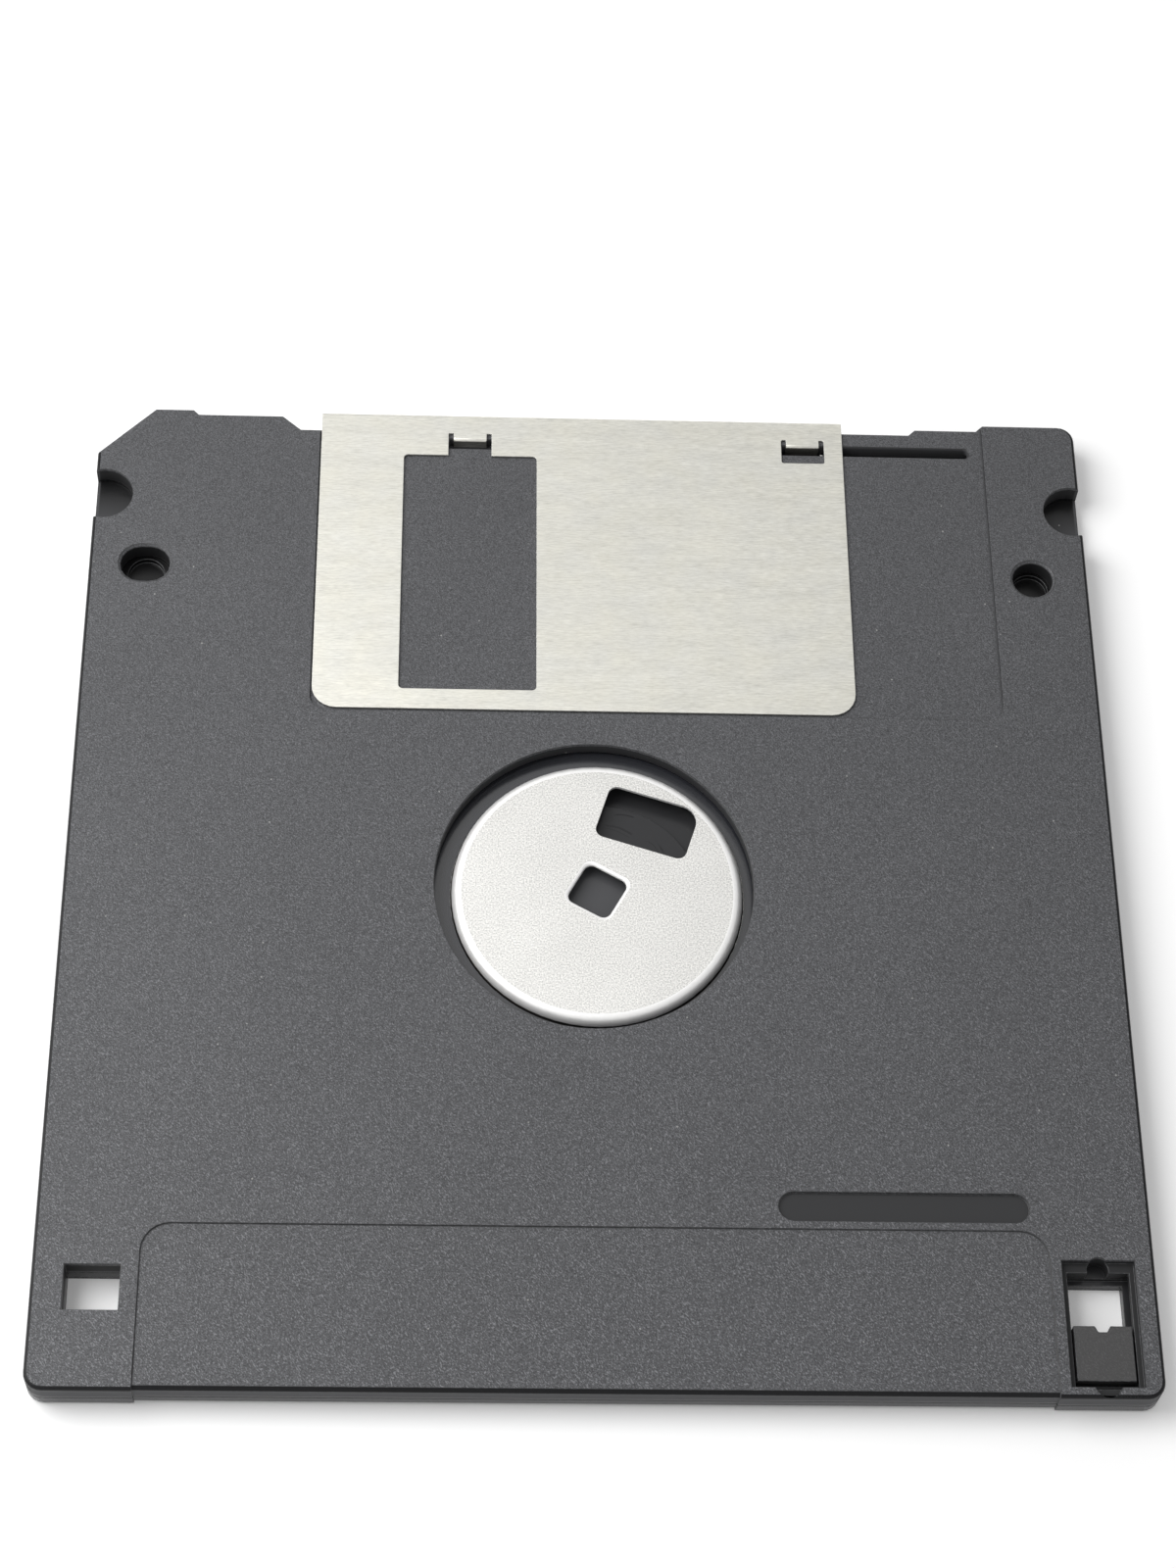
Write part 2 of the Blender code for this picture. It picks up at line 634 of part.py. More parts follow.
def guide_groove():
    """The groove with rounded lips for the shutter's bent tabs, open below to the spring's pocket on the right."""
    left = LEFT_TAB_X - GUIDE_TAB_WIDTH / 2 - GROOVE_END_GAP
    right = RIGHT_TAB_X + GUIDE_TAB_WIDTH / 2 + SHUTTER_TRAVEL + 2 * GROOVE_END_GAP
    outline = round_ended(left, right, GROOVE_FOOT, GROOVE_LEADING)
    middle = ((left + right) / 2, (GROOVE_FOOT + GROOVE_LEADING) / 2)
    bed = CASE_THICKNESS - RECESS_DEPTH
    return flared_cutter("guide_groove", outline, middle, GROOVE_FLOOR, bed, GROOVE_LIP, LIP_STEPS)


def pill_recess():
    """The blank recess with round ends, on the hub side above the label's recess."""
    right = HALF_WIDTH - PILL_FROM_SIDE
    low = FRONT + PILL_FROM_FRONT
    outline = round_ended(right - PILL_LENGTH, right, low, low + PILL_WIDTH)
    return extruded("pill_recess", outline, CASE_THICKNESS - PILL_DEPTH, CASE_THICKNESS + OVERSHOOT)


def locating_cutters(low):
    """The round hole on the right and the short slot on the left, each with a lead-in."""
    radius = LOCATING_HOLE / 2
    long = radius + LOCATING_SLOT_EXTRA / 2
    foot, end = LOCATING_Y - radius, LOCATING_Y + radius
    slot = round_ended(-LOCATING_X - long, -LOCATING_X + long, foot, end)
    hole = circle(LOCATING_X, LOCATING_Y, radius)
    top = CASE_THICKNESS
    left, right = (-LOCATING_X, LOCATING_Y), (LOCATING_X, LOCATING_Y)
    return [
        flared_cutter("left_locating_slot", slot, left, low, top, LOCATING_LEAD_IN),
        flared_cutter("right_locating_hole", hole, right, low, top, LOCATING_LEAD_IN),
    ]


def make_hub_side_shell():
    """The upper moulding, whose face carries the hub hole and the drive's locating features."""
    face, past = CASE_THICKNESS, CASE_THICKNESS + OVERSHOOT
    below = HUB_RIM_BOTTOM - OVERSHOOT
    shell = shell_blank("hub_side_shell", HUB_RIM_BOTTOM, face)
    cavity = circle(0, CENTRE_Y, CAVITY_RADIUS, DISC_STEPS)
    cut(shell, extruded("cavity", cavity, below, HUB_CEILING))
    cut(shell, corner_pockets(below, HUB_CEILING))
    hub_hole = circle(0, CENTRE_Y, HUB_HOLE_RADIUS, HUB_STEPS)
    ring = circle(0, CENTRE_Y, HUB_RING_RADIUS, HUB_STEPS)
    posts = [circle(x, y, POST_DIAMETER / 2, HOLE_STEPS // 2) for x, y in post_places()]
    post_foot = LABEL_FLOOR + SEAM_GAP
    joined = (HUB_CEILING + face) / 2
    join(
        shell,
        extruded("hub_ring", ring, HUB_CEILING - HUB_RING_DROP, joined),
        *[extruded("post", outline, post_foot, joined) for outline in posts],
    )
    notches = [circle(side * NOTCH_X, NOTCH_Y, NOTCH_DIAMETER / 2) for side in (-1, 1)]
    cut(
        shell,
        extruded("hub_hole", hub_hole, below, past),
        head_window(below, past),
        shutter_recess("shutter_bed", face - RECESS_DEPTH, past),
        guide_groove(),
        label_cutter("label_recess", HUB_SIDE_LABEL_LENGTH, face, 1),
        pill_recess(),
        density_hole(below, past),
        *locating_cutters(below),
        *[extruded("side_notch", outline, below, past) for outline in notches],
    )
    cut(shell, *tab_housing_cutters(below, past))
    return coat(shell, coloured("case_plastic", (0.112, 0.113, 0.119), 0.5))


def tab_housing_cutters(below, past):
    """The opening over the write-protect tab, stepped so that its ledges hold the tab's wings down."""
    side = TAB_WIDTH / 2 + TAB_SIDE_CLEARANCE
    wide = TAB_WIDTH / 2 + TAB_OPENING_MARGIN
    foot = TAB_Y - TAB_OPENING_FOOT
    end = TAB_END_Y + TAB_CLEARANCE
    opening_end = TAB_END_Y + TAB_OPENING_END
    low_radius, high_radius = LOW_FINGER_NOTCH_RADIUS, HIGH_FINGER_NOTCH_RADIUS
    low_finger = circle(TAB_X, foot - LOW_FINGER_NOTCH_REACH + low_radius, low_radius)
    high_finger = circle(TAB_X, opening_end + HIGH_FINGER_NOTCH_REACH - high_radius, high_radius)
    throat_floor = LEDGE_BOTTOM - SEAM_GAP
    return [
        wing_pocket(below, LEDGE_BOTTOM),
        block("throat", TAB_X - side, TAB_X + side, foot, end, throat_floor, past),
        block("tab_opening", TAB_X - wide, TAB_X + wide, foot, opening_end, LEDGE_TOP, past),
        extruded("low_finger_notch", low_finger, LEDGE_TOP, past),
        extruded("high_finger_notch", high_finger, below, past),
    ]


def make_label_side_shell():
    """The lower moulding, which closes the case and takes the label."""
    past = LABEL_RIM_TOP + OVERSHOOT
    shell = shell_blank("label_side_shell", LABEL_RIM_TOP, 0)
    cavity = circle(0, CENTRE_Y, CAVITY_RADIUS, DISC_STEPS)
    cut(shell, extruded("cavity", cavity, LABEL_FLOOR, past))
    cut(shell, corner_pockets(LABEL_FLOOR, past))
    land = circle(*DISC_CENTRE.xy, LABEL_LAND_DIAMETER / 2, HUB_STEPS)
    coil_post = COIL_DIAMETER / 2 - WIRE_DIAMETER / 2 - COIL_POST_CLEARANCE
    post = circle(COIL_X, COIL_Y, coil_post, HOLE_STEPS)
    root = LABEL_FLOOR / 2
    join(
        shell,
        extruded("land", land, root, LABEL_FLOOR + LABEL_LAND_HEIGHT),
        extruded("coil_post", post, root, HUB_CEILING - SEAM_GAP),
    )
    blind = LABEL_RIM_TOP - LOCATING_BLIND_DEPTH
    holes = [circle(side * LOCATING_X, LOCATING_Y, LOCATING_BLIND_HOLE / 2) for side in (-1, 1)]
    window_side = TAB_WIDTH / 2 - TAB_WINDOW_COVER
    window_end = TAB_END_Y - TAB_WINDOW_END_COVER
    cut(
        shell,
        head_window(-OVERSHOOT, past),
        shutter_recess("shutter_bed", -OVERSHOOT, RECESS_DEPTH),
        label_cutter("label_recess", LABEL_SIDE_LABEL_LENGTH, 0, -1),
        density_hole(-OVERSHOOT, past),
        leaf_pocket(),
        insertion_arrow(),
        wing_pocket(LABEL_FLOOR, past),
        *[extruded("blind_hole", outline, blind, past) for outline in holes],
    )
    window = rectangle(
        TAB_X - window_side, TAB_X + window_side, window_end - TAB_WINDOW_LENGTH, window_end
    )
    cut(shell, extruded("tab_window", window, -OVERSHOOT, LABEL_FLOOR + SEAM_GAP))
    return coat(shell, coloured("case_plastic", (0.112, 0.113, 0.119), 0.5))


def insertion_arrow():
    """The moulded arrow that points the way the disk goes in."""
    x = -HALF_WIDTH + ARROW_FROM_SIDE
    tip = LEADING - ARROW_FROM_LEADING
    base = tip - ARROW_LENGTH
    outline = [(x - ARROW_WIDTH / 2, base), (x + ARROW_WIDTH / 2, base), (x, tip)]
    return extruded("insertion_arrow", outline, -OVERSHOOT, ARROW_DEPTH)


def leaf_pocket():
    margin = LEAF_POCKET_MARGIN
    length = LEAF_GLUED_LENGTH + LEAF_FREE_LENGTH
    return block(
        "leaf_pocket",
        LEAF_LEFT - margin,
        LEAF_LEFT + length + margin,
        LEAF_FOOT - margin,
        LEAF_FOOT + LEAF_WIDTH + margin,
        LABEL_FLOOR - LEAF_POCKET_DEPTH,
        LABEL_RIM_TOP + OVERSHOOT,
    )


def make_lifter_leaf():
    """The film leaf under the label-side liner, glued at one end and bent up at the other."""
    bottom = LABEL_FLOOR - LEAF_POCKET_DEPTH + LAYER_GAP
    top = bottom + LEAF_THICKNESS
    bend = LEAF_LEFT + LEAF_GLUED_LENGTH
    tip = bend + LEAF_FREE_LENGTH
    rise = LABEL_FLOOR - top
    profile = [
        (LEAF_LEFT, bottom),
        (bend, bottom),
        (tip, bottom + rise),
        (tip, top + rise),
        (bend, top),
        (LEAF_LEFT, top),
    ]
    leaf = extruded("lifter_leaf", profile, -LEAF_FOOT - LEAF_WIDTH, -LEAF_FOOT)
    leaf.data.transform(Matrix.Rotation(math.pi / 2, 4, "X"))
    return coat(leaf, coloured("clear_film", (0.62, 0.62, 0.58), 0.25))


def make_liner(name, low):
    """A punched fabric ring, slotted where the heads reach in."""
    outer = CAVITY_RADIUS - LINER_EDGE_GAP
    liner = turned_ring(name, outer, LINER_BORE_RADIUS, low, low + LINER_THICKNESS)
    side = WINDOW_WIDTH / 2 + LINER_SLOT_MARGIN
    start = WINDOW_START - LINER_SLOT_MARGIN
    low, high = low - OVERSHOOT, low + OVERSHOOT
    cut(liner, block("head_slot", -side, side, start, CAVITY_RADIUS, low, high))
    liner.location.y = CENTRE_Y
    return coat(liner, coloured("liner_fabric", (0.72, 0.72, 0.70), 0.95))


def make_magnetic_disc():
    bore = HUB_RADIUS + MEDIA_BORE_CLEARANCE
    media = turned_ring("magnetic_disc", MEDIA_RADIUS, bore, MEDIA_BOTTOM, MEDIA_TOP)
    return coat(media, coloured("magnetic_film", (0.035, 0.03, 0.027), 0.18))


def make_adhesive_ring():
    outer = FLANGE_RADIUS - ADHESIVE_MARGIN
    inner = HUB_RADIUS + MEDIA_BORE_CLEARANCE + ADHESIVE_MARGIN
    top = ADHESIVE_BOTTOM + ADHESIVE_THICKNESS
    ring = turned_ring("hub_adhesive_ring", outer, inner, ADHESIVE_BOTTOM, top, HUB_STEPS)
    return coat(ring, coloured("adhesive_film", (0.55, 0.5, 0.4), 0.4))


def make_hub():
    """The stamped cup: a flat face with a rounded rim, a short wall and the flange that carries the film."""
    outer, sheet = HUB_RADIUS, HUB_SHEET
    rim, foot = HUB_RIM_RADIUS, HUB_FOOT_RADIUS
    rim_z, foot_z = HUB_FACE - rim, FLANGE_TOP + foot
    profile = [
        (0, HUB_FACE),
        *arc(outer - rim, rim_z, rim, 90, 0, 4),
        *arc(outer + foot, foot_z, foot, 180, 270, 3),
        (FLANGE_RADIUS, FLANGE_TOP),
        (FLANGE_RADIUS, FLANGE_BOTTOM),
        *arc(outer + foot, foot_z, foot + sheet, 270, 180, 3),
        *arc(outer - rim, rim_z, rim - sheet, 0, 90, 3),
        (0, HUB_FACE - sheet),
    ]
    hub = turned("hub", profile, HUB_STEPS)
    half = HUB_SQUARE / 2
    square = rectangle(-half, half, -half, half, HUB_SQUARE_CORNER)
    low = HUB_FACE - sheet - OVERSHOOT
    centre_hole = flared_cutter("centre_hole", square, (0, 0), low, HUB_FACE, HUB_SQUARE_LIP, LIP_STEPS)
    centre_hole.data.transform(Matrix.Rotation(math.radians(HUB_SQUARE_TURN), 4, "Z"))
    long, wide = DRIVE_SLOT_LENGTH / 2, DRIVE_SLOT_WIDTH / 2
    slot = rounded(
        [
            (-long, -wide, DRIVE_SLOT_CORNER),
            (long, -wide, DRIVE_SLOT_CORNER),
            (long, wide, DRIVE_SLOT_WIDE_CORNER),
            (-long, wide, DRIVE_SLOT_CORNER),
        ]
    )
    drive_slot = extruded("drive_slot", slot, low, HUB_FACE + OVERSHOOT)
    place = Matrix.Translation((DRIVE_SLOT_X, DRIVE_SLOT_Y, 0))
    drive_slot.data.transform(place @ Matrix.Rotation(math.radians(DRIVE_SLOT_TURN), 4, "Z"))
    cut(hub, centre_hole, drive_slot)
    return coat(hub, coloured("stamped_steel", (0.76, 0.75, 0.72), 0.42, 1.0))


def bent_tab(name, centre_x, depth):
    """A guide tab: the sheet carried on from the leading edge, bent down into the groove."""
    bend, sheet = GUIDE_TAB_BEND, SHUTTER_SHEET
    root = LEADING - TAB_CUT_END + SHUTTER_SHEET
    turn_y = GUIDE_TAB_BACK - sheet + bend
    turn_z = SHUTTER_TOP - bend
    tip = SHUTTER_TOP - depth
    profile = [
        (root, SHUTTER_TOP),
        *arc(turn_y, turn_z, bend, 90, 180, 4),
        (GUIDE_TAB_BACK - sheet, tip),
        (GUIDE_TAB_BACK, tip),
        *arc(turn_y, turn_z, bend - sheet, 180, 90, 2),
        (root, SHUTTER_TOP - sheet),
    ]
    half = GUIDE_TAB_WIDTH / 2
    return extruded_along_x(name, profile, centre_x - half, centre_x + half)


def make_shutter():
    """One sheet folded round the leading edge, with a window through both flaps and two tabs bent from the upper."""
    top, bottom = SHUTTER_TOP, SHUTTER_SINK
    fold, sheet = SHUTTER_FOLD_RADIUS, SHUTTER_SHEET
    centre = LEADING - fold
    profile = [
        (SHUTTER_FOOT, top),
        (SHUTTER_FOOT, top - sheet),
        *arc(centre, top - fold, fold - sheet, 90, 0, 3),
        *arc(centre, bottom + fold, fold - sheet, 0, -90, 3),
        (SHUTTER_FOOT, bottom + sheet),
        (SHUTTER_FOOT, bottom),
        *arc(centre, bottom + fold, fold, -90, 0, 4),
        *arc(centre, top - fold, fold, 0, 90, 4),
    ]
    shutter = extruded_along_x("shutter", profile, SHUTTER_LEFT, SHUTTER_RIGHT)
    plan = rounded(
        [
            (SHUTTER_LEFT, SHUTTER_FOOT, SHUTTER_CORNER),
            (SHUTTER_RIGHT, SHUTTER_FOOT, SHUTTER_CORNER),
            (SHUTTER_RIGHT, LEADING + OVERSHOOT, 0),
            (SHUTTER_LEFT, LEADING + OVERSHOOT, 0),
        ]
    )
    keep_inside(shutter, extruded("plan", plan, -OVERSHOOT, CASE_THICKNESS + OVERSHOOT))
    window_left = SHUTTER_LEFT + SHUTTER_WINDOW_FROM_LEFT
    window_right = window_left + SHUTTER_WINDOW_WIDTH
    foot, end = SHUTTER_WINDOW_FOOT, SHUTTER_WINDOW_END
    window = rectangle(window_left, window_right, foot, end, SHUTTER_WINDOW_CORNER)
    middle, past = CASE_THICKNESS / 2, CASE_THICKNESS + OVERSHOOT
    half_cut = TAB_CUT_WIDTH / 2
    cut_top = LEADING - TAB_CUT_END
    right_foot = cut_top - RIGHT_TAB_CUT_LENGTH
    left_cut = rectangle(LEFT_TAB_X - half_cut, LEFT_TAB_X + half_cut, end - sheet, cut_top)
    right_cut = rectangle(RIGHT_TAB_X - half_cut, RIGHT_TAB_X + half_cut, right_foot, cut_top, sheet)
    cut(
        shutter,
        extruded("window", window, -OVERSHOOT, past),
        extruded("left_tab_cut", left_cut, middle, past),
        extruded("right_tab_cut", right_cut, middle, past),
    )
    join(
        shutter,
        bent_tab("left_tab", LEFT_TAB_X, LEFT_TAB_DEPTH),
        bent_tab("right_tab", RIGHT_TAB_X, RIGHT_TAB_DEPTH),
    )
    return coat(shutter, coloured("shutter_metal", (0.74, 0.73, 0.68), 0.33, 1.0))


def tangent_angle(end, side):
    """The angle on the coil where a straight leg to the given end touches it."""
    away = Vector(end) - Vector((COIL_X, COIL_Y))
    return math.atan2(away.y, away.x) + side * math.acos(COIL_DIAMETER / 2 / away.length)


def make_shutter_spring():
    """A torsion spring whose legs cross over its coil: one bears on the case's corner, one on the right tab."""
    wire = WIRE_DIAMETER / 2
    fixed_x = HALF_WIDTH - SIDE_WALL - wire - SPRING_END_GAP
    fixed_end = (fixed_x, GROOVE_LEADING - SPRING_FIXED_END_FROM_RAIL)
    tab_edge = RIGHT_TAB_X + GUIDE_TAB_WIDTH / 2
    moving_end = (tab_edge + wire + SPRING_END_GAP, GROOVE_LEADING - wire - SPRING_END_GAP)
    first = tangent_angle(fixed_end, 1)
    last = tangent_angle(moving_end, -1)
    wound = (last - first) % math.tau + math.tau * (COIL_TURNS - 1)
    steps = round(wound / math.tau * WIRE_STEPS_PER_TURN)
    pitch = WIRE_DIAMETER + COIL_GAP
    height = pitch * wound / math.tau
    start_z = (LABEL_FLOOR + HUB_CEILING - height) / 2
    points = [(*fixed_end, start_z)]
    for step in range(steps + 1):
        share = step / steps
        turn = first + wound * share
        x = COIL_X + COIL_DIAMETER / 2 * math.cos(turn)
        y = COIL_Y + COIL_DIAMETER / 2 * math.sin(turn)
        points.append((x, y, start_z + height * share))
    points.append((*moving_end, start_z + height))
    path = bpy.data.curves.new("shutter_spring", "CURVE")
    path.dimensions = "3D"
    path.bevel_depth = wire
    path.bevel_resolution = 2
    path.use_fill_caps = True
    line = path.splines.new("POLY")
    line.points.add(len(points) - 1)
    for knot, place in zip(line.points, points):
        knot.co = (*place, 1)
    spring = bpy.data.objects.new("shutter_spring", path)
    bpy.context.scene.collection.objects.link(spring)
    path.materials.append(coloured("spring_steel", (0.5, 0.5, 0.5), 0.3, 1.0))
    return spring


def make_write_protect_tab():
    """The slider, with a notch for a pen tip in its far edge and a wing along each side."""
    half, end = TAB_WIDTH / 2, TAB_LENGTH
    mouth, root = TAB_NOTCH_MOUTH / 2, TAB_NOTCH_ROOT / 2
    outline = [
        (-half, 0),
        (half, 0),
        (half, end),
        (mouth, end),
        (root, end - TAB_NOTCH_DEPTH),
        (-root, end - TAB_NOTCH_DEPTH),
        (-mouth, end),
        (-half, end),
    ]
    tab = extruded("write_protect_tab", outline, TAB_BOTTOM, TAB_TOP)
    wing = wing_half_width()
    wing_end = end - TAB_WING_SHORTFALL
    join(tab, block("wings", -wing, wing, 0, wing_end, TAB_BOTTOM, WING_TOP))
    return coat(tab, coloured("tab_plastic", (0.077, 0.076, 0.077), 0.4))


def carried(name, place, *pieces):
    """Hangs pieces that were made about the origin on an empty at their joint's place."""
    axis = bpy.data.objects.new(name, None)
    axis.empty_display_size = HUB_RADIUS
    axis.location = place
    bpy.context.scene.collection.objects.link(axis)
    for piece in pieces:
        piece.parent = axis


def main():
    clear_scene()
    make_hub_side_shell()
    make_label_side_shell()
    make_liner("label_side_liner", LABEL_FLOOR + SEAT_GAP)
    make_liner("hub_side_liner", HUB_CEILING - SEAT_GAP - LINER_THICKNESS)
    make_lifter_leaf()
    make_shutter_spring()
    make_shutter()
    carried("disc_axis", DISC_CENTRE, make_hub(), make_magnetic_disc(), make_adhesive_ring())
    carried("tab_slide", (TAB_X, TAB_Y, 0), make_write_protect_tab())


main()
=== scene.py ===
"""A 3.5 inch floppy disk lying with its hub upwards, dressed piece by piece in the order that it is put together.

Lengths are in metres. +X is right, +Y points to the shutter's edge and +Z is up.
"""

import json
import math

import bmesh
import bpy
from mathutils import Matrix, Vector

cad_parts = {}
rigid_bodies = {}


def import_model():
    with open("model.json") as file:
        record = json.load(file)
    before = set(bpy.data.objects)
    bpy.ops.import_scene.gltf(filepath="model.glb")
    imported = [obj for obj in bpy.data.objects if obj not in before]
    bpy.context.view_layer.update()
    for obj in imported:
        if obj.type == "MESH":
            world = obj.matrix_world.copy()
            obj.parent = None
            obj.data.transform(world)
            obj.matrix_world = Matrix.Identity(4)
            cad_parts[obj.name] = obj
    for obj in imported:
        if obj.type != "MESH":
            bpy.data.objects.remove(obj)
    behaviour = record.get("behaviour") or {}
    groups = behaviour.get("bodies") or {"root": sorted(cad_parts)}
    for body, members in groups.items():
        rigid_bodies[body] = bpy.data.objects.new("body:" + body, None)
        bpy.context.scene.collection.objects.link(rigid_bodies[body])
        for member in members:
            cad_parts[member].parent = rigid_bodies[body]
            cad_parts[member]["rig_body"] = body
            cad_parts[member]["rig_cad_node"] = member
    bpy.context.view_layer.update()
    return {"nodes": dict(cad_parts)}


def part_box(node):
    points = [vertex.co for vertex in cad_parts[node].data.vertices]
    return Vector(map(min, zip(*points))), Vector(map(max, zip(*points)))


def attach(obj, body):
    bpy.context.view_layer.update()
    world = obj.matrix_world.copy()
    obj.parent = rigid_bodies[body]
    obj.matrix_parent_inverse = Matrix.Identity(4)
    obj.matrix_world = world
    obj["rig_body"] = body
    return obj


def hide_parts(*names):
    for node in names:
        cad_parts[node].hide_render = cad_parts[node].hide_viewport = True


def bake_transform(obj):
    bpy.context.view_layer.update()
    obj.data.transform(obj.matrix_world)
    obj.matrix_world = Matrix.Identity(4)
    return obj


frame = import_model()


# The label-side shell is the lower moulding of the case, a tray of dark grey ABS with a rim all round.
# It is injection moulded in a spark-eroded tool, which leaves an even fine grain on every outer face.
# Both shells are welded together at posts in their corners, and this one lies on the table.
def new_group(name, inputs, outputs):
    """Starts a shader node group with named sockets. Inputs come as (name, kind, value)."""
    group = bpy.data.node_groups.new(name, "ShaderNodeTree")
    kinds = {"number": "NodeSocketFloat", "colour": "NodeSocketColor", "vector": "NodeSocketVector"}
    for label, kind, value in inputs:
        socket = group.interface.new_socket(label, in_out="INPUT", socket_type=kinds[kind])
        if value is not None:
            socket.default_value = value
    for label, kind in outputs:
        group.interface.new_socket(label, in_out="OUTPUT", socket_type=kinds[kind])
    given = group.nodes.new("NodeGroupInput")
    made = group.nodes.new("NodeGroupOutput")
    return group, given.outputs, made


def fill(tree, node, **values):
    """Sets or links a node's inputs, each by its name or by the letter i and its number."""
    for label, value in values.items():
        by_number = label[1:].isdigit()
        socket = node.inputs[int(label[1:]) if by_number else label.replace("_", " ")]
        if isinstance(value, bpy.types.NodeSocket):
            tree.links.new(value, socket)
        else:
            socket.default_value = value


def add(tree, kind, settings=None, **values):
    """Adds a node with its settings and inputs."""
    node = tree.nodes.new(kind)
    for key, value in (settings or {}).items():
        setattr(node, key, value)
    fill(tree, node, **values)
    return node


def placed(tree, group, **values):
    """Places a node group, with its values, and returns what it puts out."""
    return add(tree, "ShaderNodeGroup", {"node_tree": group}, **values).outputs


def maths(tree, operation, first, second):
    return add(tree, "ShaderNodeMath", {"operation": operation}, i0=first, i1=second).outputs[0]


def product(tree, first, *others):
    for other in others:
        first = maths(tree, "MULTIPLY", first, other)
    return first


def between(tree, value, low, high, to_low=0.0, to_high=1.0):
    """Maps a value from one range to another, held at both ends."""
    span = {"From_Min": low, "From_Max": high, "To_Min": to_low, "To_Max": to_high}
    return add(tree, "ShaderNodeMapRange", Value=value, **span).outputs[0]


def mixed(tree, share, first, second, blend="MIX"):
    mix = {"data_type": "RGBA", "blend_type": blend}
    return add(tree, "ShaderNodeMix", mix, i0=share, i6=first, i7=second).outputs[2]


def shaded(tree, colour, shade):
    """A colour made darker or lighter by a number."""
    grey = add(tree, "ShaderNodeCombineXYZ", X=shade, Y=shade, Z=shade).outputs[0]
    return mixed(tree, 1.0, colour, grey, "MULTIPLY")


def noise(tree, place, scale, detail=2.0, roughness=0.5):
    texture = {"Vector": place, "Scale": scale, "Detail": detail, "Roughness": roughness}
    return add(tree, "ShaderNodeTexNoise", **texture).outputs[0]


def stretched(tree, place, turns, stretch):
    """Coordinates that draw a texture out along a slanted direction."""
    slant = {"vector_type": "TEXTURE"}
    return add(tree, "ShaderNodeMapping", slant, Vector=place, Rotation=turns, Scale=stretch).outputs[0]


def place_on(tree):
    return tree.nodes.new("ShaderNodeTexCoord").outputs["Object"]


def apart(tree, vector):
    return add(tree, "ShaderNodeSeparateXYZ", Vector=vector).outputs


POLISHED_ROUGHNESS = 0.26
GRAIN_PER_METRE = 8600.0
COARSE_GRAIN_SCALE = 0.31
CLOUDS_PER_METRE = 60.0
FLECK_SCALE = 1.35
FLECK_LEVELS = (0.6, 0.7)
FLECK_SLANT = (0.6, 0.0, -0.9)
FLECK_STRETCH = (2.4, 1.0, 1.0)
GRAIN_TURNS = (0.6, 0.5, 0.3)
# Painted glint: the grain's light flecks are weighted strong at the front edge and weak at the back.
FRONT_GLINT_WEIGHT, BACK_GLINT_WEIGHT = 1.3, 0.4
GLINT_FRONT, GLINT_BACK = -0.045, 0.04

grain, given, made = new_group(
    "moulded_grain",
    [
        ("Colour", "colour", (0.1, 0.1, 0.1, 1)),
        ("Grain Per Metre", "number", GRAIN_PER_METRE),
        ("Polish", "number", 0.0),
        ("Polished Shade", "number", 0.5),
        ("Polished Roughness", "number", POLISHED_ROUGHNESS),
    ],
    [("Colour", "colour"), ("Roughness", "number"), ("Height", "number")],
)
spot = place_on(grain)
across_grain = add(grain, "ShaderNodeMapping", Vector=spot, Rotation=GRAIN_TURNS).outputs[0]
per_metre, polish = given["Grain Per Metre"], given["Polish"]
fine = noise(grain, across_grain, per_metre, 2.0, 0.6)
coarse = noise(grain, across_grain, product(grain, per_metre, COARSE_GRAIN_SCALE))
cloud = noise(grain, spot, CLOUDS_PER_METRE, 3.0, 0.55)
slanted = stretched(grain, spot, FLECK_SLANT, FLECK_STRETCH)
facets = noise(grain, slanted, product(grain, per_metre, FLECK_SCALE), 0.0)
flecks = between(grain, facets, *FLECK_LEVELS)
# Painted glint: the flecks' weight falls from the front to the back.
painted_glint = between(grain, apart(grain, spot)[1], GLINT_FRONT, GLINT_BACK, FRONT_GLINT_WEIGHT, BACK_GLINT_WEIGHT)
coarse_drift = between(grain, coarse, 0.3, 0.7, 0.9, 1.1)
cloud_drift = between(grain, cloud, 0.3, 0.7, 0.96, 1.04)
value = product(grain, between(grain, fine, 0.34, 0.66, 0.46, 1.4), product(grain, coarse_drift, cloud_drift))
value = maths(grain, "ADD", value, product(grain, flecks, painted_glint))
# Where polished, the colour takes the Polished Shade in place of the grain; the case's plastic feeds its painted
# shade in here.
shade = between(grain, polish, 0.0, 1.0, value, given["Polished Shade"])
satin = between(grain, fine, 0.3, 0.7, 0.56, 0.42)
smoothness = between(grain, polish, 0.0, 1.0, satin, given["Polished Roughness"])
relief = maths(grain, "ADD", product(grain, fine, 0.65), product(grain, coarse, 0.35))
relief = between(grain, polish, 0.0, 1.0, relief, 0.5)
fill(grain, made, Colour=shaded(grain, given["Colour"], shade), Roughness=smoothness, Height=relief)

LINT_PER_METRE = 900.0
LINT_SIZE = (0.05, 0.09)
LINT_RARITY = (0.86, 0.9)
LINT_GREY = (0.5, 0.5, 0.48, 1)

dust, given, made = new_group(
    "settled_dust",
    [("Colour", "colour", (0.1, 0.1, 0.1, 1)), ("Amount", "number", 0.5)],
    [("Colour", "colour"), ("Mask", "number")],
)
lint = add(dust, "ShaderNodeTexVoronoi", {"feature": "F1"}, Vector=place_on(dust), Scale=LINT_PER_METRE)
tiny = between(dust, lint.outputs["Distance"], *LINT_SIZE, 1.0, 0.0)
draw = add(dust, "ShaderNodeSeparateColor", Color=lint.outputs["Color"]).outputs[0]
few = between(dust, draw, *LINT_RARITY)
mask = product(dust, tiny, few, given["Amount"])
fill(dust, made, Mask=mask, Colour=mixed(dust, mask, given["Colour"], LINT_GREY))

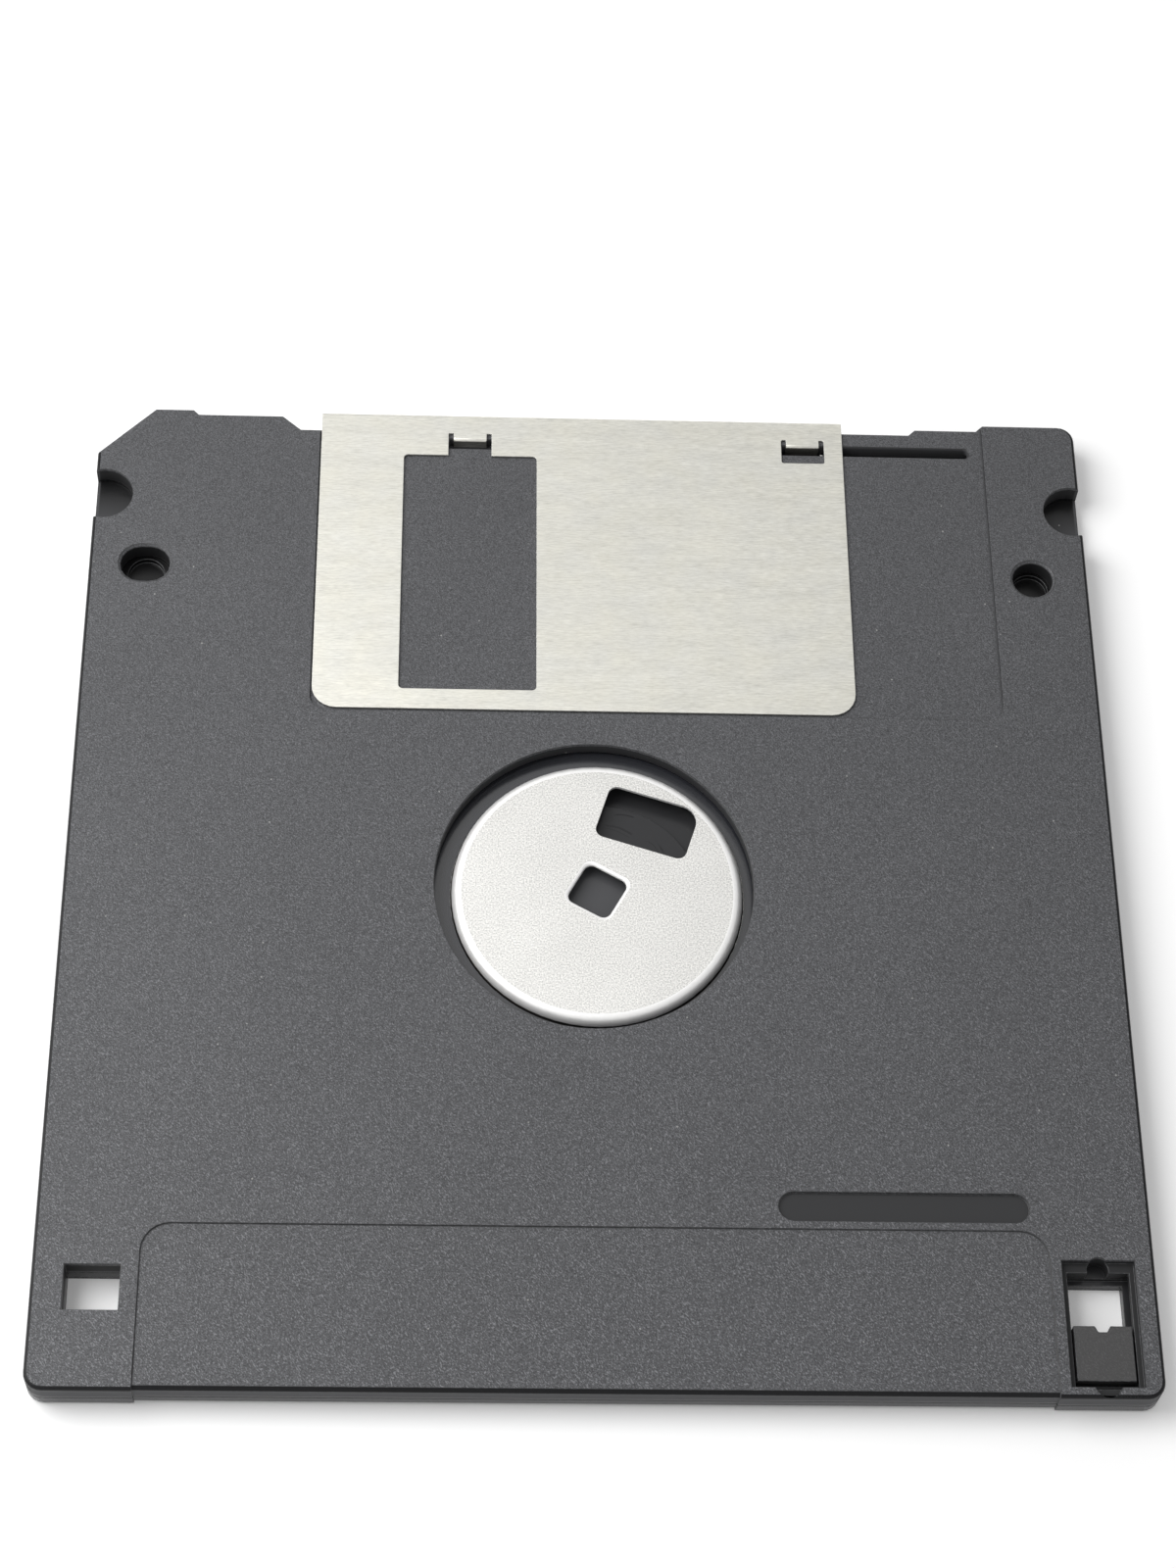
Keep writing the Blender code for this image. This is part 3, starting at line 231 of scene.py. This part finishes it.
# The land round the disc's middle is rubbed by the turning hub, which leaves fine rings about one centre.
rings, given, made = new_group(
    "turned_rings",
    [("Centre", "vector", (0, 0, 0)), ("Rings Per Metre", "number", 6000.0), ("Wander", "number", 0.0)],
    [("Shade", "number"), ("Distance", "number")],
)


def vector_maths(tree, operation, first, second):
    return add(tree, "ShaderNodeVectorMath", {"operation": operation}, i0=first, i1=second).outputs[0]


def length(tree, vector):
    return add(tree, "ShaderNodeVectorMath", {"operation": "LENGTH"}, i0=vector).outputs["Value"]


WANDERS_PER_METRE = 90.0

offset = vector_maths(rings, "SUBTRACT", place_on(rings), given["Centre"])
flat = vector_maths(rings, "MULTIPLY", offset, (1, 1, 0))
reach = length(rings, flat)
sway = product(rings, maths(rings, "SUBTRACT", noise(rings, flat, WANDERS_PER_METRE), 0.5), given["Wander"])
swayed = maths(rings, "ADD", reach, sway)
track = add(rings, "ShaderNodeCombineXYZ", X=product(rings, swayed, given["Rings Per Metre"])).outputs[0]
fill(rings, made, Shade=noise(rings, track, 1.0, 3.0, 0.7), Distance=reach)


def surface(name, roughness=0.5, metallic=0.0):
    """Starts a material with a Principled surface. Returns the material, its tree and the surface."""
    material = bpy.data.materials.new(name)
    material.use_nodes = True
    tree = material.node_tree
    shader = tree.nodes["Principled BSDF"]
    fill(tree, shader, Roughness=roughness, Metallic=metallic)
    return material, tree, shader


def raised(tree, shader, height, depth):
    bump = add(tree, "ShaderNodeBump", Strength=1.0, Distance=depth, Height=height)
    fill(tree, shader, Normal=bump.outputs[0])


def past(tree, value, limit, low=0.0, high=1.0, run=0.0001):
    """Goes from one number to another where a value passes a limit."""
    return between(tree, value, limit, limit + run, low, high)


CASE_GREY = (0.081, 0.082, 0.087, 1)
CASE_SHEEN = 0.32
GRAIN_DEPTH = 0.000018
DUST_ON_CASE = 0.5

# The grain is on the outer faces only. Recesses, walls and the inside are polished, and take darker tones set by
# place, which hold painted shade and painted light.
GRAINED_FROM = 0.003012
GRAINED_UNDER = 0.0004
SIDES_FROM = 0.0447
FRONT_FROM = -0.0468
SIDE_SHADE = 0.7

# Painted shade on the walls of the holes, with the guide groove and the hub's hole painted a little lighter than the
# others.
WALLS_FROM, WALLS_TO = 0.0016, 0.0029
WALL_SHADE, GROOVE_SHADE, HUB_HOLE_SHADE = 0.18, 0.85, 0.28
WALL_ROUGHNESS = 0.6
GROOVE_FROM = 0.0425
HUB_HOLE_REACH = 0.015

# The floors seen through the hub, in the locating holes and in the side notches: painted light near the hub's middle,
# painted shade in the locating holes, and a painted shadow that darkens each notch towards its back.
LAND_RADIUS = 0.0092
LAND_TOP = 0.0016
MIDDLE_SHADE, LAND_SHADE = 0.85, 0.36
MIDDLE_RADII = (0.003, 0.005)
FLOOR_SHADE = 0.34
PIN_HOLES_BEYOND = 0.0365
PIN_HOLES_FROM, PIN_HOLES_TO = 0.026, 0.0334
PIN_HOLE_SHADE = 0.06
NOTCHES_FROM = 0.0335
NOTCH_FRONT, NOTCH_BACK = 0.0352, 0.0385
NOTCH_FRONT_SHADE, NOTCH_BACK_SHADE = 0.75, 0.1

# Hair-thin dark rub marks on the land.
RUBS_PER_METRE = 2600.0
RUB_WANDER = 0.012
RUB_LEVELS = (0.56, 0.61)
RUB_BREAKS_PER_METRE = 420.0
RUB_BREAK_LEVELS = (0.46, 0.52)
RUBS_FROM = (0.0035, 0.004)
RUB_STRENGTH = 0.9
RUB_BLACK = (0.004, 0.004, 0.005, 1)

hub_low, hub_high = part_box("hub")
hub_centre = (hub_low + hub_high) / 2

case_plastic, tree, shader = surface("case_plastic")
fill(tree, shader, Specular_IOR_Level=CASE_SHEEN)
x, y, height = apart(tree, place_on(tree))
across = maths(tree, "ABSOLUTE", x, 0.0)
rubbed = placed(tree, rings, Centre=hub_centre, Rings_Per_Metre=RUBS_PER_METRE, Wander=RUB_WANDER)
from_hub = rubbed["Distance"]

below_face = past(tree, height, GRAINED_FROM, 1.0, 0.0, run=0.00001)
polish = maths(tree, "MINIMUM", below_face, past(tree, height, GRAINED_UNDER))
wall = product(tree, past(tree, height, WALLS_FROM, run=0.0002), past(tree, height, WALLS_TO, 1.0, 0.0, run=0.00002))
sides = maths(tree, "MAXIMUM", past(tree, across, SIDES_FROM), past(tree, y, FRONT_FROM, 1.0, 0.0))

# Painted light and shade on the floors, set by place.
low = past(tree, height, LAND_TOP, 1.0, 0.0)
low_floor = product(tree, past(tree, from_hub, LAND_RADIUS), low)
middle_shade = between(tree, from_hub, *MIDDLE_RADII, MIDDLE_SHADE, LAND_SHADE)
pin_rows = product(tree, past(tree, y, PIN_HOLES_FROM), past(tree, y, PIN_HOLES_TO, 1.0, 0.0))
pin_holes = product(tree, past(tree, across, PIN_HOLES_BEYOND), pin_rows)
# Painted shadow: a notch's floor goes from light at its front to dark at its back.
notch_painted_shadow = between(tree, y, NOTCH_FRONT, NOTCH_BACK, NOTCH_FRONT_SHADE, NOTCH_BACK_SHADE)
open_shade = between(tree, past(tree, y, NOTCHES_FROM), 0.0, 1.0, FLOOR_SHADE, notch_painted_shadow)
floor_shade = between(tree, pin_holes, 0.0, 1.0, open_shade, PIN_HOLE_SHADE)
# Painted shade on the walls, painted lighter in the guide groove and round the hub's hole.
painted_wall_shade = past(tree, y, GROOVE_FROM, WALL_SHADE, GROOVE_SHADE)
painted_wall_shade = maths(tree, "MAXIMUM", painted_wall_shade, past(tree, from_hub, HUB_HOLE_REACH, HUB_HOLE_SHADE, 0.0))
# The polished parts' tone map: painted shade and light on the floors and walls, and a plain tone on the outer sides.
painted_deep_shade = between(tree, low_floor, 0.0, 1.0, middle_shade, floor_shade)
painted_deep_shade = between(tree, wall, 0.0, 1.0, painted_deep_shade, painted_wall_shade)
painted_deep_shade = between(tree, sides, 0.0, 1.0, painted_deep_shade, SIDE_SHADE)
deep_roughness = between(tree, wall, 0.0, 1.0, POLISHED_ROUGHNESS, WALL_ROUGHNESS)
finish = {"Polish": polish, "Polished_Shade": painted_deep_shade, "Polished_Roughness": deep_roughness}
moulded = placed(tree, grain, Colour=CASE_GREY, **finish)

on_land = product(tree, past(tree, from_hub, LAND_RADIUS, 1.0, 0.0), polish, low)
breaks = between(tree, noise(tree, place_on(tree), RUB_BREAKS_PER_METRE, 1.0), *RUB_BREAK_LEVELS)
hair = product(tree, between(tree, rubbed["Shade"], *RUB_LEVELS), breaks, between(tree, from_hub, *RUBS_FROM))
marked = mixed(tree, product(tree, hair, on_land, RUB_STRENGTH), moulded["Colour"], RUB_BLACK)
dusty = placed(tree, dust, Colour=marked, Amount=DUST_ON_CASE)
fill(tree, shader, Base_Color=dusty["Colour"], Roughness=moulded["Roughness"])
raised(tree, shader, moulded["Height"], GRAIN_DEPTH)

EDGE_GREY = (0.062, 0.063, 0.066, 1)
EDGE_GRAIN_PER_METRE = 3000.0
EDGE_POLISH = 0.6

case_edge, tree, shader = surface("case_edge")
worn = placed(tree, grain, Colour=EDGE_GREY, Grain_Per_Metre=EDGE_GRAIN_PER_METRE, Polish=EDGE_POLISH)
fill(tree, shader, Specular_IOR_Level=CASE_SHEEN, Base_Color=worn["Colour"], Roughness=worn["Roughness"])

# Painted shade: the rounding round each shell and the edge of the shutter's bed are near-black with little sheen, as
# dark lines.
RIM_SHADE_BLACK = (0.012, 0.012, 0.013, 1)
RIM_SHEEN = 0.12
RIM_POLISH = 0.8

painted_rim_shade, tree, shader = surface("painted_rim_shade")
sleek = placed(tree, grain, Colour=RIM_SHADE_BLACK, Polish=RIM_POLISH, Polished_Shade=1.0)
fill(tree, shader, Specular_IOR_Level=RIM_SHEEN, Base_Color=sleek["Colour"], Roughness=sleek["Roughness"])

RIM_SIDES = 0.0446
RIM_FRONT = -0.0465
RIM_CORNER_X, RIM_CORNER_Y = 0.0437, 0.0457
RIM_TILTS = (0.3, 0.98)
BED_LEFT, BED_RIGHT = -0.02, 0.038
BED_FOOT, BED_HEAD = 0.0165, 0.044
BED_EDGE_FROM = 0.0031


def on_rim(side):
    """Whether a face takes the painted rim shade: part of the rounding that runs round a shell, or of the edge of the
    shutter's bed.
    """
    place = side.calc_center_median()
    across, along = abs(place.x), abs(place.y)
    corner = across > RIM_CORNER_X and along > RIM_CORNER_Y
    outer = across > RIM_SIDES or place.y < RIM_FRONT or corner
    bed = BED_LEFT < place.x < BED_RIGHT and BED_FOOT < place.y < BED_HEAD and place.z > BED_EDGE_FROM
    return (outer or bed) and RIM_TILTS[0] < abs(side.normal.z) < RIM_TILTS[1]


SAME_PLACE = 0.000001
SAME_PLANE = math.radians(0.5)
SHARP_FROM = math.radians(32)


def softened(node, width, face, edge, flattest=None, rim=None):
    """A finer copy of a node, with its sharp edges broken.

    The edge finish also goes on faces tilted past a given angle, and the rim finish, a painted shade, on a shell's
    outer rounding and the edge of the shutter's bed.
    """
    piece = frame["nodes"][node].copy()
    piece.data = bpy.data.meshes.new(node + "_finished")
    shape = bmesh.new()
    shape.from_mesh(frame["nodes"][node].data)
    bmesh.ops.remove_doubles(shape, verts=shape.verts, dist=SAME_PLACE)
    bmesh.ops.dissolve_limit(shape, angle_limit=SAME_PLANE, verts=shape.verts, edges=shape.edges)
    sharp = [line for line in shape.edges if len(line.link_faces) == 2 and line.calc_face_angle() > SHARP_FROM]
    bevel = {"offset": width, "segments": 2, "profile": 0.6, "affect": "EDGES", "material": 1}
    bmesh.ops.bevel(shape, geom=sharp, clamp_overlap=False, **bevel)
    for side in shape.faces:
        side.smooth = True
        if flattest and side.normal.z < math.cos(flattest):
            side.material_index = 1
        if rim and on_rim(side):
            side.material_index = 2
    shape.to_mesh(piece.data)
    shape.free()
    piece.name = node + "_finished"
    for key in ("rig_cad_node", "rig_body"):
        if key in piece:
            del piece[key]
    for finish in (face, edge, rim):
        if finish:
            piece.data.materials.append(finish)
    bpy.context.scene.collection.objects.link(piece)
    piece.parent = None
    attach(piece, frame["nodes"][node]["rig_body"])
    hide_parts(node)
    weights = piece.modifiers.new("even_shading", "WEIGHTED_NORMAL")
    weights.weight = 80
    weights.keep_sharp = False
    return piece


SHELL_EDGE = 0.00006

lower_shell = softened("label_side_shell", SHELL_EDGE, case_plastic, case_edge, rim=painted_rim_shade)


# The lifter leaf is a strip of clear polyester film, glued by one end in a shallow pocket of the lower shell.
# Its free end is bent up and pushes the fabric lightly against the turning film.
def mottled(tree, shader, pattern, dark, light, low_roughness, high_roughness):
    """Gives a surface two close tones and two close roughnesses, after a pattern."""
    tone = mixed(tree, between(tree, pattern, 0.3, 0.7), dark, light)
    fill(tree, shader, Base_Color=tone, Roughness=between(tree, pattern, 0.3, 0.7, low_roughness, high_roughness))


def dressed(node, material):
    """Gives a node its material, and leaves its shape as it is."""
    materials = frame["nodes"][node].data.materials
    materials.clear()
    materials.append(material)


clear_film, tree, shader = surface("clear_film")
haze = noise(tree, place_on(tree), 900.0, 4.0)
mottled(tree, shader, haze, (0.6, 0.6, 0.57, 1), (0.7, 0.7, 0.67, 1), 0.16, 0.28)
dressed("lifter_leaf", clear_film)


# The two liners are rings of white non-woven fabric, punched with a slot for the heads.
# One is heat-bonded inside each shell, where it wipes dust off the turning film.
FLEECE_WHITE = (0.74, 0.74, 0.72, 1)
FLEECE_DEPTH = 0.00004
WAVES_PER_METRE = 700.0
FIBRE_WANDER = 0.0012
FIBRE_STRETCH = (8, 1, 1)

fleece, given, made = new_group(
    "fleece_fibres", [("Fibres Per Metre", "number", 3000.0)], [("Shade", "number"), ("Height", "number")]
)
spot = place_on(fleece)
waves = add(fleece, "ShaderNodeTexNoise", Vector=spot, Scale=WAVES_PER_METRE, Detail=2.0).outputs[1]
wander = add(fleece, "ShaderNodeVectorMath", {"operation": "SCALE"}, i0=waves, Scale=FIBRE_WANDER).outputs[0]
bent = vector_maths(fleece, "ADD", spot, wander)
first, second, third = (
    noise(fleece, stretched(fleece, bent, (0, 0, turn), FIBRE_STRETCH), given["Fibres Per Metre"])
    for turn in (0.4, 1.5, 2.6)
)
tangle = maths(fleece, "MAXIMUM", maths(fleece, "MAXIMUM", first, second), third)
fibre_shade = between(fleece, tangle, 0.42, 0.72, 0.75, 1.05)
fill(fleece, made, Shade=fibre_shade, Height=between(fleece, tangle, 0.45, 0.7))

liner_fabric, tree, shader = surface("liner_fabric", roughness=0.95)
fibres = placed(tree, fleece)
fill(tree, shader, Base_Color=shaded(tree, FLEECE_WHITE, fibres["Shade"]))
raised(tree, shader, fibres["Height"], FLEECE_DEPTH)
for name in ("label_side_liner", "hub_side_liner"):
    dressed(name, liner_fabric)


# The magnetic disc is a thin polyester film coated with dark oxide on both sides, then burnished.
# It is punched from a web, so it has a clean edge, and it is glued to the hub's flange.
FILM_DARK, FILM_LIGHT = (0.021, 0.022, 0.026, 1), (0.03, 0.0312, 0.037, 1)
FILM_SHEEN = 1.0
BURNISH_PER_METRE = 5000.0
BURNISH_DEPTH = 0.0000008

magnetic_film, tree, shader = surface("magnetic_film")
burnish = placed(tree, rings, Centre=hub_centre, Rings_Per_Metre=BURNISH_PER_METRE)["Shade"]
tone = mixed(tree, between(tree, burnish, 0.35, 0.65), FILM_DARK, FILM_LIGHT)
smoothness = between(tree, burnish, 0.3, 0.7, 0.14, 0.22)
fill(tree, shader, Specular_IOR_Level=FILM_SHEEN, Base_Color=tone, Roughness=smoothness)
raised(tree, shader, burnish, BURNISH_DEPTH)
dressed("magnetic_disc", magnetic_film)


# The adhesive ring is a die-cut ring of double-sided film.
# It holds the magnetic disc to the hub's flange, and is a little gummy at its cut edge.
adhesive_film, tree, shader = surface("adhesive_film")
gummy = noise(tree, place_on(tree), 1800.0, 3.0)
mottled(tree, shader, gummy, (0.5, 0.45, 0.36, 1), (0.6, 0.55, 0.45, 1), 0.32, 0.48)
dressed("hub_adhesive_ring", adhesive_film)


# The hub is a shallow cup stamped from stainless sheet, with a square hole for the spindle and a drive pin's slot.
# Its face is bead-blasted to an even satin, while the rolled rim and the pressed lip of the square stay bright; their
# near-white, part-matt finish is partly a painted highlight that shows from every side.
# Below the rim its flange is glued to the film, and under a set height its finish is painted dark, as shade in the
# gap round the hub.
STEEL = (0.718, 0.712, 0.69, 1)
DIMPLE_DEPTH = 0.000008
PATCHES_PER_METRE = 240.0
BRIGHT_STEEL, BRIGHTEST_STEEL = (0.93, 0.925, 0.915, 1), (0.97, 0.965, 0.955, 1)
FOOT_SHADE_DARK = (0.03, 0.028, 0.027, 1)
FOOT_SHADE_LINE = 0.00185
HUB_EDGE = 0.000008
BLASTED_TILT = math.radians(8)

blasted, given, made = new_group(
    "bead_blasting",
    [("Dimples Per Metre", "number", 7400.0)],
    [("Shade", "number"), ("Roughness", "number"), ("Height", "number")],
)
spot = place_on(blasted)
dimples = noise(blasted, spot, given["Dimples Per Metre"], 2.0, 0.6)
patches = noise(blasted, spot, PATCHES_PER_METRE, 3.0)
speck = between(blasted, dimples, 0.36, 0.64, 0.7, 1.2)
speck = product(blasted, speck, between(blasted, patches, 0.3, 0.7, 0.97, 1.03))
fill(blasted, made, Shade=speck, Roughness=between(blasted, dimples, 0.3, 0.7, 0.5, 0.38), Height=dimples)

stamped_steel, tree, shader = surface("stamped_steel", metallic=1.0)
satin = placed(tree, blasted)
fill(tree, shader, Base_Color=shaded(tree, STEEL, satin["Shade"]), Roughness=satin["Roughness"])
raised(tree, shader, satin["Height"], DIMPLE_DEPTH)

# Partly painted highlight: the rim's finish is near-white and only part metal, so it looks bright all round.
rolled_edge, tree, shader = surface("rolled_edge", metallic=0.4)
scuffs = noise(tree, place_on(tree), 3000.0, 3.0)
bright = mixed(tree, between(tree, scuffs, 0.3, 0.7), BRIGHT_STEEL, BRIGHTEST_STEEL)
# Painted shade: below a set height the rolled edge turns dark, in the gap round the hub.
foot_shade = past(tree, apart(tree, place_on(tree))[2], FOOT_SHADE_LINE, 1.0, 0.0)
edge_roughness = between(tree, scuffs, 0.3, 0.7, 0.3, 0.4)
fill(tree, shader, Base_Color=mixed(tree, foot_shade, bright, FOOT_SHADE_DARK), Roughness=edge_roughness)

hub = softened("hub", HUB_EDGE, stamped_steel, rolled_edge, BLASTED_TILT)


# The hub-side shell is the upper moulding, in the same dark grey ABS as the lower one, and welded to it.
# Its face has the hub's hole, the shutter's bed and groove, the locating holes, the notches and a label recess.
upper_shell = softened("hub_side_shell", SHELL_EDGE, case_plastic, case_edge, rim=painted_rim_shade)


# The write-protect tab is a small slider, moulded apart in a smoother dark grey plastic.
# Its wings run under two ledges of the upper shell, and a notch in its far edge takes a pen tip.
TAB_GREY = (0.085, 0.084, 0.085, 1)
TAB_GRAIN_PER_METRE = 9000.0
TAB_POLISH = 0.8
TAB_GRAIN_DEPTH = 0.000006
TAB_EDGE = 0.00008

tab_plastic, tree, shader = surface("tab_plastic")
moulded = placed(tree, grain, Colour=TAB_GREY, Grain_Per_Metre=TAB_GRAIN_PER_METRE, Polish=TAB_POLISH)
fill(tree, shader, Base_Color=moulded["Colour"], Roughness=moulded["Roughness"])
raised(tree, shader, moulded["Height"], TAB_GRAIN_DEPTH)
tab = softened("write_protect_tab", TAB_EDGE, tab_plastic, case_edge)


# The shutter's spring is a torsion spring wound from steel wire, with straight legs that cross over its coil.
# One leg bears on the case's corner and the other on the shutter's right guide tab, so it closes the shutter.
WIRE = 0.0003
COIL_RADIUS = 0.002
COIL_PITCH = 0.00034
COIL_X, COIL_Y = 0.0355, 0.0374
CORNER_END = (0.04355, 0.04365)
TAB_END = (0.02139, 0.0441)
SPRING_MIDDLE = 0.00165
STEPS_PER_TURN = 40
LEG_STEPS = 24


def leg_turn(end, side):
    """The angle on the coil where a straight leg to the given end touches it."""
    away = Vector(end) - Vector((COIL_X, COIL_Y))
    return math.atan2(away.y, away.x) + side * math.acos(COIL_RADIUS / away.length)


def wire(name, points, radius):
    """A smooth wire through points, as a mesh."""
    path = bpy.data.curves.new(name, "CURVE")
    path.dimensions = "3D"
    path.bevel_depth = radius
    path.bevel_resolution = 3
    path.use_fill_caps = True
    line = path.splines.new("POLY")
    line.points.add(len(points) - 1)
    for knot, place in zip(line.points, points):
        knot.co = (*place, 1)
    drawn = bpy.data.objects.new(name + "_path", path)
    bpy.context.scene.collection.objects.link(drawn)
    bpy.context.view_layer.update()
    mesh = bpy.data.meshes.new_from_object(drawn.evaluated_get(bpy.context.evaluated_depsgraph_get()))
    bpy.data.objects.remove(drawn)
    for side in mesh.polygons:
        side.use_smooth = True
    piece = bpy.data.objects.new(name, mesh)
    bpy.context.scene.collection.objects.link(piece)
    return piece


spring_steel, tree, shader = surface("spring_steel", metallic=1.0)
drawn = noise(tree, place_on(tree), 5000.0, 2.0)
mottled(tree, shader, drawn, (0.48, 0.48, 0.48, 1), (0.62, 0.62, 0.61, 1), 0.22, 0.36)

first_turn = leg_turn(CORNER_END, 1)
wound = (leg_turn(TAB_END, -1) - first_turn) % math.tau + math.tau
rise = COIL_PITCH * wound / math.tau
foot = SPRING_MIDDLE - rise / 2
steps = round(wound / math.tau * STEPS_PER_TURN)
route = [(*CORNER_END, foot)]
for step in range(steps + 1):
    angle = first_turn + wound * step / steps
    out, along = COIL_RADIUS * math.cos(angle), COIL_RADIUS * math.sin(angle)
    route.append((COIL_X + out, COIL_Y + along, foot + rise * step / steps))
leg_start = Vector(route[-1])
leg_end = (*TAB_END, foot + rise)
route += [leg_start.lerp(Vector(leg_end), step / LEG_STEPS) for step in range(1, LEG_STEPS + 1)]
spring = wire("shutter_spring_wire", route, WIRE / 2)
spring.data.materials.append(spring_steel)
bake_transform(spring)
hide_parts("shutter_spring")


# The shutter is one strip of thin stainless sheet, folded round the leading edge, with a window in both flaps.
# The sheet is rolled and brushed along X, and its cut edges are bright.
# Two guide tabs are bent down from the upper flap, and hold it in the upper shell's groove.
SHEET_WARM, SHEET_COOL = (0.728, 0.716, 0.645, 1), (0.708, 0.702, 0.652, 1)
TINTS_PER_METRE = 320.0
STREAK_DEPTH = 0.000004
LONG_STREAKS, BROAD_STREAKS = 0.28, 0.07
SHEET_EDGE = 0.000035

brushed, given, made = new_group(
    "rolled_streaks",
    [("Streaks Per Metre", "number", 7000.0), ("Length", "number", 0.17)],
    [("Shade", "number"), ("Roughness", "number"), ("Height", "number")],
)
stretch = add(brushed, "ShaderNodeCombineXYZ", X=given["Length"], Y=1.0, Z=1.0).outputs[0]
drawn_out = vector_maths(brushed, "MULTIPLY", place_on(brushed), stretch)
per_metre = given["Streaks Per Metre"]
short = noise(brushed, drawn_out, per_metre, 2.0, 0.6)
long = noise(brushed, drawn_out, product(brushed, per_metre, LONG_STREAKS), 3.0, 0.6)
broad = noise(brushed, drawn_out, product(brushed, per_metre, BROAD_STREAKS))
tones = product(
    brushed,
    between(brushed, short, 0.3, 0.7, 0.83, 1.13),
    between(brushed, long, 0.3, 0.7, 0.9, 1.08),
    between(brushed, broad, 0.3, 0.7, 0.98, 1.02),
)
both = maths(brushed, "ADD", product(brushed, short, 0.6), product(brushed, long, 0.4))
fill(brushed, made, Shade=tones, Roughness=between(brushed, both, 0.34, 0.66, 0.48, 0.34), Height=both)

shutter_metal, tree, shader = surface("shutter_metal", metallic=1.0)
strokes = placed(tree, brushed)
warmth = between(tree, noise(tree, place_on(tree), TINTS_PER_METRE), 0.3, 0.7)
sheet = shaded(tree, mixed(tree, warmth, SHEET_WARM, SHEET_COOL), strokes["Shade"])
fill(tree, shader, Base_Color=sheet, Roughness=strokes["Roughness"])
raised(tree, shader, strokes["Height"], STREAK_DEPTH)

cut_edge, tree, shader = surface("cut_edge", metallic=1.0)
burr = noise(tree, place_on(tree), 4000.0, 2.0)
mottled(tree, shader, burr, (0.42, 0.415, 0.39, 1), (0.62, 0.61, 0.58, 1), 0.35, 0.5)

shutter = softened("shutter", SHEET_EDGE, shutter_metal, cut_edge)


# The floor is a plain white table that runs on out of view, and it keeps the disk's shadow.
# It glows a little to the camera, and more so far away, where it would turn grey at the horizon.
FLOOR_HALF = 3.0
FLOOR_DROP = 0.00002
TABLE_WHITE = (0.97, 0.97, 0.97, 1)
NEAR, FAR = 0.12, 0.6
NEAR_GLOW, FAR_GLOW = 0.13, 0.55

floor_mesh = bpy.data.meshes.new("floor")
corners = [(x * FLOOR_HALF, y * FLOOR_HALF, 0) for x, y in ((-1, -1), (1, -1), (1, 1), (-1, 1))]
floor_mesh.from_pydata(corners, [], [(0, 1, 2, 3)])
floor = bpy.data.objects.new("floor", floor_mesh)
floor.location.z = -FLOOR_DROP
bpy.context.scene.collection.objects.link(floor)

white_table, tree, shader = surface("white_table", roughness=0.9)
seen = tree.nodes.new("ShaderNodeLightPath").outputs
direct = maths(tree, "MAXIMUM", seen["Is Camera Ray"], seen["Is Glossy Ray"])
direct = maths(tree, "MAXIMUM", direct, seen["Is Transmission Ray"])
glow = between(tree, length(tree, place_on(tree)), NEAR, FAR, NEAR_GLOW, FAR_GLOW)
fill(tree, shader, Base_Color=TABLE_WHITE, Emission_Color=(1, 1, 1, 1), Emission_Strength=product(tree, direct, glow))
floor.data.materials.append(white_table)


# Soft studio light: a pale sky, and one large panel over the table's left side.
# The sky is even for matt faces and white behind what the camera sees.
# In polished faces it is brightest overhead and to the left, as in a light tent.
SKY_LIGHT = 0.47
PANEL_PLACE = (-0.2, 0.05, 0.25)
PANEL_SIZE = 0.25
PANEL_POWER = 0.97

world = bpy.data.worlds.new("studio")
bpy.context.scene.world = world
world.use_nodes = True
tree = world.node_tree
sky = tree.nodes["Background"]
seen = tree.nodes.new("ShaderNodeLightPath").outputs
direct = maths(tree, "MAXIMUM", seen["Is Camera Ray"], seen["Is Transmission Ray"])
way = apart(tree, tree.nodes.new("ShaderNodeTexCoord").outputs["Generated"])
overhead = between(tree, way[2], 0.82, 0.97, 0.76, 0.98)
low_glow = between(tree, way[2], 0.15, 0.5, 0.4, 0.0)
leftwards = between(tree, way[0], -0.4, 0.4, 1.2, 0.88)
reflected = product(tree, maths(tree, "ADD", overhead, low_glow), leftwards)
studio = between(tree, seen["Is Glossy Ray"], 0.0, 1.0, SKY_LIGHT, reflected)
fill(tree, sky, Color=(1, 1, 1, 1), Strength=between(tree, direct, 0.0, 1.0, studio, 1.0))

light = bpy.data.lights.new("left_panel", "AREA")
light.shape = "RECTANGLE"
light.size = PANEL_SIZE
light.size_y = PANEL_SIZE
light.energy = PANEL_POWER
lamp = bpy.data.objects.new("left_panel", light)
lamp.location = PANEL_PLACE
lamp.rotation_euler = (-Vector(PANEL_PLACE)).to_track_quat("-Z", "Y").to_euler()
bpy.context.scene.collection.objects.link(lamp)


# The camera stands where the photograph was taken from, almost above the disk's front edge.
# Its turns, its distance and its lens come from a fit to the case's outline and holes.
CAMERA_TURNS = {"X": 2.6257, "Y": -0.0423, "Z": 0.0160}
CAMERA_SHIFT = (0.0003775, 0.0085364, 0.28117)
PICTURE_LONG_SIDE = 1600
FOCAL_PIXELS = 3322.5
SENSOR_WIDTH = 36

turn = Matrix.Identity(3)
for axis, angle in CAMERA_TURNS.items():
    turn = Matrix.Rotation(angle, 3, axis) @ turn
camera = bpy.data.objects.new("camera", bpy.data.cameras.new("camera"))
upright = turn.transposed() @ Matrix.Diagonal((1, -1, -1))
camera.matrix_world = Matrix.Translation(-(turn.transposed() @ Vector(CAMERA_SHIFT))) @ upright.to_4x4()
camera.data.sensor_fit = "AUTO"
camera.data.sensor_width = SENSOR_WIDTH
camera.data.lens = FOCAL_PIXELS * SENSOR_WIDTH / PICTURE_LONG_SIDE
camera.data.clip_start = 0.01
bpy.context.scene.collection.objects.link(camera)
bpy.context.scene.camera = camera

bpy.context.scene.view_settings.view_transform = "Standard"
